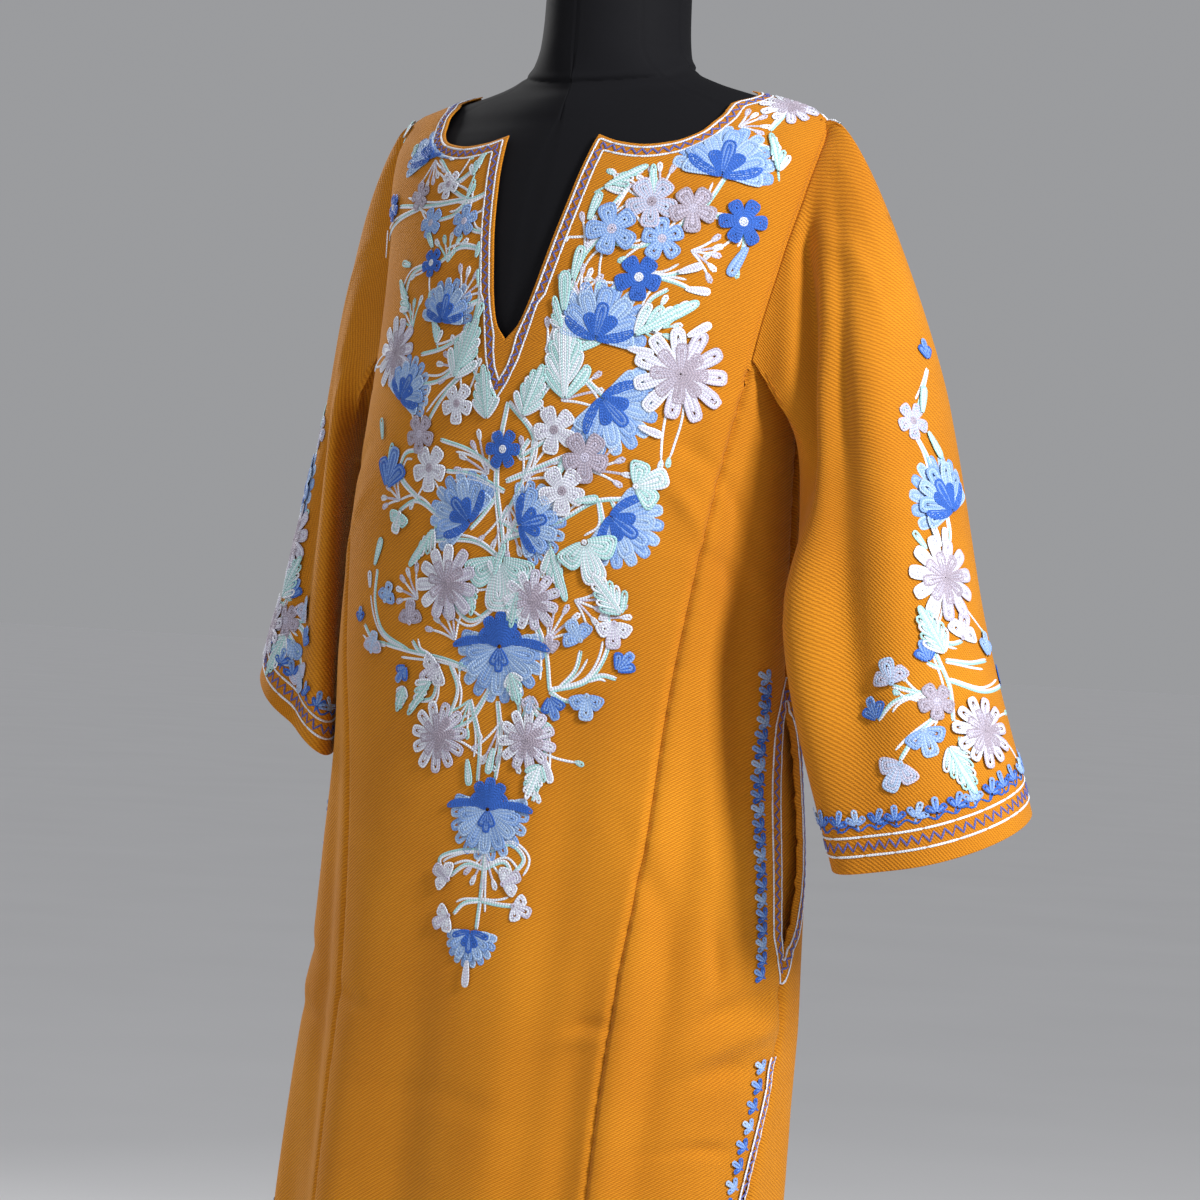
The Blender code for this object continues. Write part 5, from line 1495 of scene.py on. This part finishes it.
def cuff_band(name, outside):
    stitches = Stitches(name)
    for distance in CUFF_LINES:
        ring = even(cuff_path(outside, distance))
        long_line(stitches, ring, outward_from(ring), "white", BAND_WIDTH)
    distance, step = CUFF_ZIGZAG
    ring = even(cuff_path(outside, distance), step)
    swing = zigzags(len(ring), CUFF_ZIGZAG_HEIGHT)
    swinging(stitches, ring, outward_from(ring), swing, "violet", BAND_WIDTH)
    distance, step = CUFF_STEM
    ring = even(cuff_path(outside, distance), step)
    wave = np.sin(np.arange(len(ring)) * step / CUFF_SPRIGS[1] * 2 * np.pi) * CUFF_STEM_HEIGHT
    swinging(stitches, ring, outward_from(ring), wave, "royal", 0.0015)
    distance, step = CUFF_SPRIGS
    ring = even(cuff_path(outside, distance), step)[:-1]
    sprigs(stitches, ring, outward_from(ring), CUFF_SPRIG, (-12, 12))
    return stitches.made()


cuff_left = cuff_band("band_cuff_left", left_out)
cuff_right = cuff_band("band_cuff_right", right_out)


def side_path(z, panel, distance):
    """Places beside the side seam, at a distance from the edge of the front or back panel."""
    turn = side_turn(z, panel)
    per_degree = np.linalg.norm(body(turn + 1, z) - body(turn - 1, z), axis=-1) / 2
    return turn + (1 if panel == "front" else -1) * distance / per_degree


def pocket_ring(distance):
    """A pointed oval round the pocket's opening, up the front and down the back."""
    reach = distance * 1.8
    z = np.linspace(POCKET_BOTTOM_Z - reach, POCKET_TOP_Z + reach, 90)
    near_end = np.minimum(z - z[0], z[-1] - z) / (reach + 0.010)
    share = distance * np.clip(near_end, 0, 1) ** 0.6
    ahead = np.stack([side_path(z, "front", share), z], -1)
    return np.concatenate([ahead, np.stack([side_path(z, "back", share), z], -1)[::-1]])


def side_band(name, mirror):
    stitches = Stitches(name)

    def on_body(places):
        turn, z = np.asarray(places).T
        return body(180 - turn if mirror else turn, z)

    band(stitches, *(on_body(pocket_ring(distance)) for distance in POCKET_LINES))
    for low, high, step, distance in (
        (POCKET_BOTTOM_Z - 0.020, POCKET_TOP_Z + 0.026, 0.0112, 0.025),
        (HEM_Z + 0.03, VENT_TOP_Z, 0.0150, 0.014),
    ):
        z = np.arange(low, high, step)
        line = on_body(np.stack([side_path(z, "front", distance), z], -1))
        sprigs(stitches, line, facing_of(line), SIDE_SPRIG, (62 if mirror else -62,))
    z = np.linspace(VENT_TOP_Z + 0.006, HEM_Z + 0.010, 120)
    band(stitches, *(on_body(np.stack([side_path(z, "front", d), z], -1)) for d in VENT_LINES))
    return stitches.made()


side_bands = [side_band("band_side_left", False), side_band("band_side_right", True)]

# %% [markdown]
# ## The dress form
# The form is a padded torso with a short neck under a stretched black cotton cover. The cover
# is sewn from panels, so thin seams run down its front, sides and back, and one goes round the
# foot of the neck. The solid's level sections make it again with finer steps, the seams are
# grooves in it, and its neck is closed by a cap.

# %% The padded body of the form
FORM_SEAMS, COVER_WIDTH_PER_DEGREE = (90, 270, 38, 142, 218, 322, 0, 180), 0.0021
NECK_SEAM_Z, NECK_SEAM_DROP, FORM_COLUMNS = 1.4110, 0.018, 180


def form_point(turn, z):
    turn, z = np.broadcast_arrays(np.asarray(turn, float), np.asarray(z, float))
    groove = np.zeros(turn.shape)
    for seam in FORM_SEAMS:
        away = ((turn - seam + 180) % 360 - 180) * COVER_WIDTH_PER_DEGREE
        groove -= 0.0011 * np.exp(-((away / 0.0016) ** 2)) - 0.0004 * np.exp(-((away / 0.005) ** 2))
    s = np.sin(np.radians(turn))
    ring = NECK_SEAM_Z - NECK_SEAM_DROP * np.maximum(s, 0)
    groove -= 0.0015 * np.exp(-(((z - ring) / 0.0016) ** 2))
    groove += 0.0008 * np.exp(-(((z - ring - 0.004) / 0.003) ** 2))
    return section_points(FORM, turn, z, groove)


turns_round = np.linspace(0, 360, FORM_COLUMNS + 1)[:-1]
levels = np.unique(np.round(np.r_[
    np.linspace(FORM[0, 0], 1.34, 70), np.linspace(1.34, 1.4950, 110)
], 5))
form_grid = form_point(turns_round[None, :], levels[:, None])
rings = len(levels)
index = np.arange(rings * FORM_COLUMNS).reshape(rings, FORM_COLUMNS)
index = np.concatenate([index, index[:, :1]], 1)
form_faces = quads(index, turned=True)
mesh = bpy.data.meshes.new("form_torso")
ends = [index[0, :-1][::-1].tolist(), index[-1, :-1].tolist()]
mesh.from_pydata(form_grid.reshape(-1, 3).tolist(), [], form_faces.reshape(-1, 4).tolist() + ends)
form_torso = bpy.data.objects.new("form_torso", mesh)
bpy.context.scene.collection.objects.link(form_torso)
bm = bmesh.new()
bm.from_mesh(mesh)
bmesh.ops.recalc_face_normals(bm, faces=bm.faces)
bm.to_mesh(mesh)
bm.free()
mesh.shade_smooth()
mesh.set_sharp_from_angle(angle=math.radians(50))
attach(form_torso, "root")
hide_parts("form_body")
print("form rings", rings, "faces", len(mesh.polygons))

# %% [markdown]
# ## The cap and the stand
# The neck's cap is a covered disc, and the stand is turned and painted steel: a socket, a pole,
# a collar on a round base. A lathe profile could be spun, but these are plain enough to start as
# cylinders that edit mode insets, moves and bevels. Each is measured from its solid's own box.

# %% Turned pieces
def turned(name, node, slot_name, shape):
    """A cylinder as large as the node's box, whose ends the shape function works on."""
    low, high = (np.array(corner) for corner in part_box(node))
    bpy.ops.object.select_all(action="DESELECT")
    bpy.ops.mesh.primitive_cylinder_add(
        vertices=96, radius=(high[0] - low[0]) / 2, depth=high[2] - low[2],
        location=(low + high) / 2,
    )
    obj = bpy.context.object
    obj.name = obj.data.name = name
    bpy.ops.object.transform_apply(location=True, rotation=False, scale=False)
    shape(obj, low[2], high[2])
    bpy.ops.object.select_all(action="DESELECT")
    obj.select_set(True)
    bpy.context.view_layer.objects.active = obj
    bpy.ops.object.shade_smooth_by_angle(angle=math.radians(35))
    for modifier in list(obj.modifiers):
        bpy.ops.object.modifier_apply(modifier=modifier.name)
    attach(obj, "root")
    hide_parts(node)
    print(name, "faces", len(obj.data.polygons))
    return obj


def select_where(obj, test):
    """Selects the faces whose centre passes the test, in edit mode's face selection."""
    bpy.ops.object.mode_set(mode="OBJECT")
    for polygon in obj.data.polygons:
        polygon.select = False
    for edge in obj.data.edges:
        edge.select = False
    for vertex in obj.data.vertices:
        vertex.select = False
    for polygon in obj.data.polygons:
        polygon.select = test(polygon)
    bpy.ops.object.mode_set(mode="EDIT")
    bpy.ops.mesh.select_mode(type="FACE")


def round_end(obj, up, radius):
    """Bevels the rim of the end that faces up or down."""
    select_where(obj, lambda polygon: polygon.normal.z * up > 0.9 and len(polygon.vertices) > 8)
    bpy.ops.mesh.bevel(offset=radius, segments=5, affect="EDGES")
    bpy.ops.object.mode_set(mode="OBJECT")


def shape_cap(obj, bottom, top):
    round_end(obj, 1, (top - bottom) * 0.75)


def shape_socket(obj, bottom, top):
    round_end(obj, -1, 0.006)
    round_end(obj, 1, 0.001)


def shape_pole(obj, bottom, top):
    round_end(obj, 1, 0.0008)


def shape_base(obj, bottom, top):
    """A thin plate whose middle is inset and raised into a collar."""
    drop = (top - bottom) - PLATE
    select_where(obj, lambda polygon: polygon.normal.z > 0.9 and len(polygon.vertices) > 8)
    bpy.ops.transform.translate(value=(0, 0, -drop))
    bpy.ops.mesh.bevel(offset=0.004, segments=4, affect="EDGES")
    select_where(obj, lambda polygon: polygon.normal.z > 0.9 and len(polygon.vertices) > 8)
    width = max(obj.dimensions.x, obj.dimensions.y) / 2
    bpy.ops.mesh.inset(thickness=width - 0.004 - COLLAR_FOOT)
    bpy.ops.mesh.inset(thickness=COLLAR_FOOT - COLLAR_RADIUS)
    bpy.ops.mesh.extrude_region_move(TRANSFORM_OT_translate={"value": (0, 0, drop)})
    bpy.ops.transform.resize(value=(0.78, 0.78, 1))
    bpy.ops.mesh.bevel(offset=0.003, segments=4, affect="EDGES")
    bpy.ops.object.mode_set(mode="OBJECT")


PLATE, COLLAR_FOOT, COLLAR_RADIUS = 0.014, 0.0410, 0.0340
neck_cap = turned("form_cap", "form_neck_cap", "form_cover", shape_cap)
socket = turned("stand_socket_ring", "stand_socket", "stand_metal", shape_socket)
pole = turned("stand_post", "stand_pole", "stand_metal", shape_pole)
base = turned("stand_plate", "stand_base", "stand_metal", shape_base)

# %% [markdown]
# ## Wool twill
# Twill shows as fine slanting ribs, about two millimetres apart here, and wool blurs them with
# fuzz. The ribs are waves across each piece's UV map, which is in metres, so they keep their
# size and follow the grain of each cut piece. They darken the colour a little in the grooves
# between them, as painted shade, and drive a bump, and larger noise gives the soft unevenness
# of handmade cloth. A sheen gives it its nap.

# %% Material helpers
def new_material(name):
    material = bpy.data.materials.new(name)
    material.use_nodes = True
    return material, material.node_tree, material.node_tree.nodes["Principled BSDF"]


def put(tree, kind, inputs=(), **settings):
    """Adds a node. Inputs are links or values by the socket's name or number."""
    node = tree.nodes.new(kind)
    for key, value in settings.items():
        setattr(node, key, value)
    for key, value in dict(inputs).items():
        if isinstance(value, bpy.types.NodeSocket):
            tree.links.new(value, node.inputs[key])
        else:
            node.inputs[key].default_value = value
    return node


def noise(tree, place, scale, detail, **more):
    """Noise on the piece's own coordinates."""
    inputs = {"Vector": place, "Scale": scale, "Detail": detail, **more}
    return put(tree, "ShaderNodeTexNoise", inputs).outputs[0]


def mapped(tree, value, low, high, to_low=0.0, to_high=1.0):
    """The value's range from low to high, made another range."""
    inputs = {0: value, 1: low, 2: high, 3: to_low, 4: to_high}
    return put(tree, "ShaderNodeMapRange", inputs).outputs[0]


def roughen(tree, shader, strength, distance, height):
    """A bump from the height."""
    bump = put(tree, "ShaderNodeBump", {"Strength": strength, "Distance": distance, "Height": height})
    tree.links.new(bump.outputs[0], shader.inputs["Normal"])


def set_values(shader, **values):
    """Plain values of the shader, by its sockets' names with a low line for each space."""
    for name, value in values.items():
        shader.inputs[name.replace("_", " ")].default_value = value


def maths(tree, operation, a, b=0.0, c=0.0):
    return put(tree, "ShaderNodeMath", {0: a, 1: b, 2: c}, operation=operation).outputs[0]


def blend_colours(tree, share, a, b, kind="MIX"):
    node = put(tree, "ShaderNodeMix", {0: share}, data_type="RGBA", blend_type=kind)
    for slot_number, value in ((6, a), (7, b)):
        if isinstance(value, bpy.types.NodeSocket):
            tree.links.new(value, node.inputs[slot_number])
        else:
            node.inputs[slot_number].default_value = value
    return node.outputs[2]


# %% Twill
RIB_PITCH, FLOAT_LENGTH = 0.0024, 0.0019
wool, tree, shader = new_material("wool_twill")
uv = put(tree, "ShaderNodeUVMap", uv_map="cloth").outputs[0]
place = put(tree, "ShaderNodeTexCoord").outputs["Object"]
wobble = noise(tree, place, 55.0, 2.0)
across = put(tree, "ShaderNodeSeparateXYZ", {0: uv})
lean = math.radians(33)
rising = maths(
    tree, "MULTIPLY_ADD", across.outputs[0], -math.sin(lean),
    maths(tree, "MULTIPLY", across.outputs[1], math.cos(lean)),
)
running = maths(
    tree, "MULTIPLY_ADD", across.outputs[0], math.cos(lean),
    maths(tree, "MULTIPLY", across.outputs[1], math.sin(lean)),
)
uneven = noise(tree, place, 380.0, 2.0)
shift = maths(tree, "MULTIPLY_ADD", wobble, 2.6, maths(tree, "MULTIPLY", uneven, 2.4))
phase = maths(tree, "MULTIPLY_ADD", rising, 2 * math.pi / RIB_PITCH, shift)
ribs = maths(tree, "MULTIPLY_ADD", maths(tree, "SINE", phase), 0.5, 0.5)
yarns = maths(
    tree, "SINE", maths(tree, "MULTIPLY_ADD", running, 2 * math.pi / FLOAT_LENGTH, phase)
)
twill = maths(tree, "MULTIPLY_ADD", yarns, 0.28, ribs)
fuzz = noise(tree, place, 2400.0, 3.0, Roughness=0.7)
worn = mapped(tree, noise(tree, place, 7.0, 5.0), 0.3, 0.7)
ground = blend_colours(tree, worn, (0.500, 0.176, 0.0050, 1), (0.615, 0.238, 0.0085, 1))
# Painted shade: the grooves between the ribs, where the twill's height is low, take this darker colour.
deep = blend_colours(tree, 1.0, ground, (0.66, 0.58, 0.42, 1), "MULTIPLY")
cloth_colour = blend_colours(tree, mapped(tree, twill, -0.2, 1.0), deep, ground)
speckle = mapped(tree, fuzz, 0.62, 0.78, 0.0, 0.22)
cloth_colour = blend_colours(tree, speckle, cloth_colour, (0.78, 0.40, 0.06, 1))
tree.links.new(cloth_colour, shader.inputs["Base Color"])
roughen(tree, shader, 0.55, 0.0006, maths(tree, "MULTIPLY_ADD", fuzz, 0.5, twill))
set_values(
    shader, Roughness=0.88, Specular_IOR_Level=0.22, Sheen_Weight=0.12, Sheen_Roughness=0.45,
    Sheen_Tint=(1.0, 0.72, 0.35, 1),
)
for piece in tunic_pieces.values():
    piece.data.materials.append(wool)
print("twill on", len(tunic_pieces), "pieces")

# %% [markdown]
# ## Thread, cover and steel
# The stitches are cotton in soft colours, each line's own, with the links of the chain as a
# bump that runs along the line, and as painted shade that darkens the colour between the links.
# The form's cover is a dull black jersey, and the stand is powder-coated steel, whose fine
# grain breaks up the light.

# %% Thread
LINK = 0.0023
thread_finish, tree, shader = new_material("cotton_thread")
uv = put(tree, "ShaderNodeUVMap", uv_map="stitch").outputs[0]
parts = put(tree, "ShaderNodeSeparateXYZ", {0: uv})
edge = maths(tree, "ABSOLUTE", parts.outputs[1])
along = maths(tree, "MULTIPLY", parts.outputs[0], 2 * math.pi / LINK)
swing = maths(tree, "MULTIPLY_ADD", edge, 2.4, along)
links = maths(tree, "MULTIPLY_ADD", maths(tree, "SINE", swing), 0.5, 0.5)
colour = put(tree, "ShaderNodeVertexColor", layer_name="thread").outputs[0]
# Painted shade: the thread's colour is darkened where the links dip, between one link and the next.
shade = blend_colours(tree, 1.0, colour, (0.62, 0.64, 0.72, 1), "MULTIPLY")
place = put(tree, "ShaderNodeTexCoord").outputs["Object"]
fibres = noise(tree, place, 1600.0, 2.0)
share = maths(tree, "MULTIPLY_ADD", fibres, 0.35, maths(tree, "MULTIPLY", links, 0.75))
tree.links.new(blend_colours(tree, share, shade, colour), shader.inputs["Base Color"])
roughen(tree, shader, 0.6, 0.0004, links)
set_values(shader, Roughness=0.62, Specular_IOR_Level=0.3, Sheen_Weight=0.1)
stitched = [yoke_flowers, panel_flowers, left_flowers, right_flowers]
stitched += [neck_band, cuff_left, cuff_right] + side_bands
for piece in stitched:
    piece.data.materials.append(thread_finish)
print("thread on", len(stitched), "pieces")

# %% Cover and steel
def grained(name, colour, other, scale, distance, roughness, **values):
    """A plain finish whose fine grain shifts its colour and gives it a bump."""
    material, tree, shader = new_material(name)
    place = put(tree, "ShaderNodeTexCoord").outputs["Object"]
    grain, soft = noise(tree, place, scale, 3.0), noise(tree, place, 9.0, 3.0)
    share = maths(tree, "MULTIPLY_ADD", grain, 0.5, maths(tree, "MULTIPLY", soft, 0.5))
    tree.links.new(blend_colours(tree, share, colour, other), shader.inputs["Base Color"])
    rough = mapped(tree, soft, 0.3, 0.7, roughness, roughness + 0.1)
    tree.links.new(rough, shader.inputs["Roughness"])
    roughen(tree, shader, 0.4, distance, grain)
    set_values(shader, **values)
    return material


cover = grained(
    "black_cover", (0.003, 0.003, 0.004, 1), (0.007, 0.007, 0.009, 1), 1900, 0.0003, 0.78,
    Specular_IOR_Level=0.12,
)
steel = grained(
    "coated_steel", (0.020, 0.020, 0.022, 1), (0.034, 0.034, 0.037, 1), 1200, 0.0002, 0.38,
    Metallic=0.3,
)
for piece in (form_torso, neck_cap):
    piece.data.materials.append(cover)
for piece in (socket, pole, base):
    piece.data.materials.append(steel)

# %% [markdown]
# ## Sheets of cloth
# Each piece of the tunic is cut from flat cloth, and its cut is printed: the cloth's width and
# length before it was sewn, and the area that the piece keeps of it. They are measured on the
# pieces here.

# %% The cuts
def sheet_of(piece):
    """Prints the cut of a piece, from its map and the area of one of its sides."""
    spots = np.empty(2 * len(piece.data.loops))
    piece.data.uv_layers["cloth"].data.foreach_get("uv", spots)
    flat = np.ptp(spots.reshape(-1, 2), axis=0).round(3)
    area = round(cloth_area(piece), 4)
    print(piece.name, "flat", flat, "area", area, "share", round(area / flat.prod(), 3))
    flat = flat.tolist()


sheet_of(front_centre)
sheet_of(back_panel)
sheet_of(side_left)
sheet_of(side_right)
sheet_of(sleeve_left)
sheet_of(sleeve_right)
sheet_of(pocket_left)
sheet_of(pocket_right)

# %% [markdown]
# ## Floor, light and camera
# The floor is a plain pale sheet that runs to the horizon. A wide soft sun adds to the pale
# sky what the floor takes up, so that floor and sky meet in one tone. A large soft light
# rakes across the front from the wearer's left, as in the photograph, and weaker ones fill
# from the front and behind. The camera stands where the photograph was taken from.

# %% Floor
bpy.ops.mesh.primitive_plane_add(size=120, location=(0, 0, -0.0005))
floor = bpy.context.object
floor.name = "floor"
mesh = floor.data
paper, tree, shader = new_material("pale_paper")
place = put(tree, "ShaderNodeTexCoord").outputs["Object"]
cloudy = noise(tree, place, 1.5, 2.0)
tree.links.new(
    blend_colours(tree, cloudy, (0.66, 0.66, 0.67, 1), (0.71, 0.71, 0.72, 1)),
    shader.inputs["Base Color"],
)
set_values(shader, Roughness=0.85)
mesh.materials.append(paper)

# %% Light and camera
target = Vector((0.00755, 0.0049, CAMERA_Z))


def softbox(name, place, size, power, aim=(0, 0, 0.9)):
    light = bpy.data.objects.new(name, bpy.data.lights.new(name, "AREA"))
    light.data.shape = "RECTANGLE"
    light.data.size, light.data.size_y = size
    light.data.energy = power
    light.location = place
    way = Vector(aim) - light.location
    light.rotation_euler = way.to_track_quat("-Z", "Y").to_euler()
    bpy.context.scene.collection.objects.link(light)
    return light


softbox("key", (2.6, -0.7, 2.4), (0.45, 0.8), 122)
softbox("fill", (-1.4, -2.9, 1.6), (0.8, 1.3), 8)
softbox("back", (-2.7, 1.1, 2.3), (0.6, 1.2), 52)
sun = bpy.data.objects.new("sun", bpy.data.lights.new("sun", "SUN"))
sun.data.energy, sun.data.angle = 0.58, math.radians(70)
sun.rotation_euler = (math.radians(28), math.radians(20), 0)
bpy.context.scene.collection.objects.link(sun)
studio = bpy.data.worlds.new("studio")
bpy.context.scene.world = studio
studio.use_nodes = True
studio.node_tree.nodes["Background"].inputs["Color"].default_value = (0.86, 0.87, 0.90, 1)
studio.node_tree.nodes["Background"].inputs["Strength"].default_value = 0.38

camera = bpy.data.objects.new("camera", bpy.data.cameras.new("camera"))
bpy.context.scene.collection.objects.link(camera)
bpy.context.scene.camera = camera
camera.data.lens, camera.data.sensor_width = 133.35, 36
camera.location = target + Vector(TOWARD_CAMERA) * CAMERA_FAR
aim = (target - camera.location).to_track_quat("-Z", "Y").to_matrix().to_4x4()
camera.rotation_euler = (aim @ Matrix.Rotation(PHOTO_TILT, 4, "Z")).to_euler()
bpy.context.scene.view_settings.view_transform = "Standard"
print("camera at", [round(x, 3) for x in camera.location])
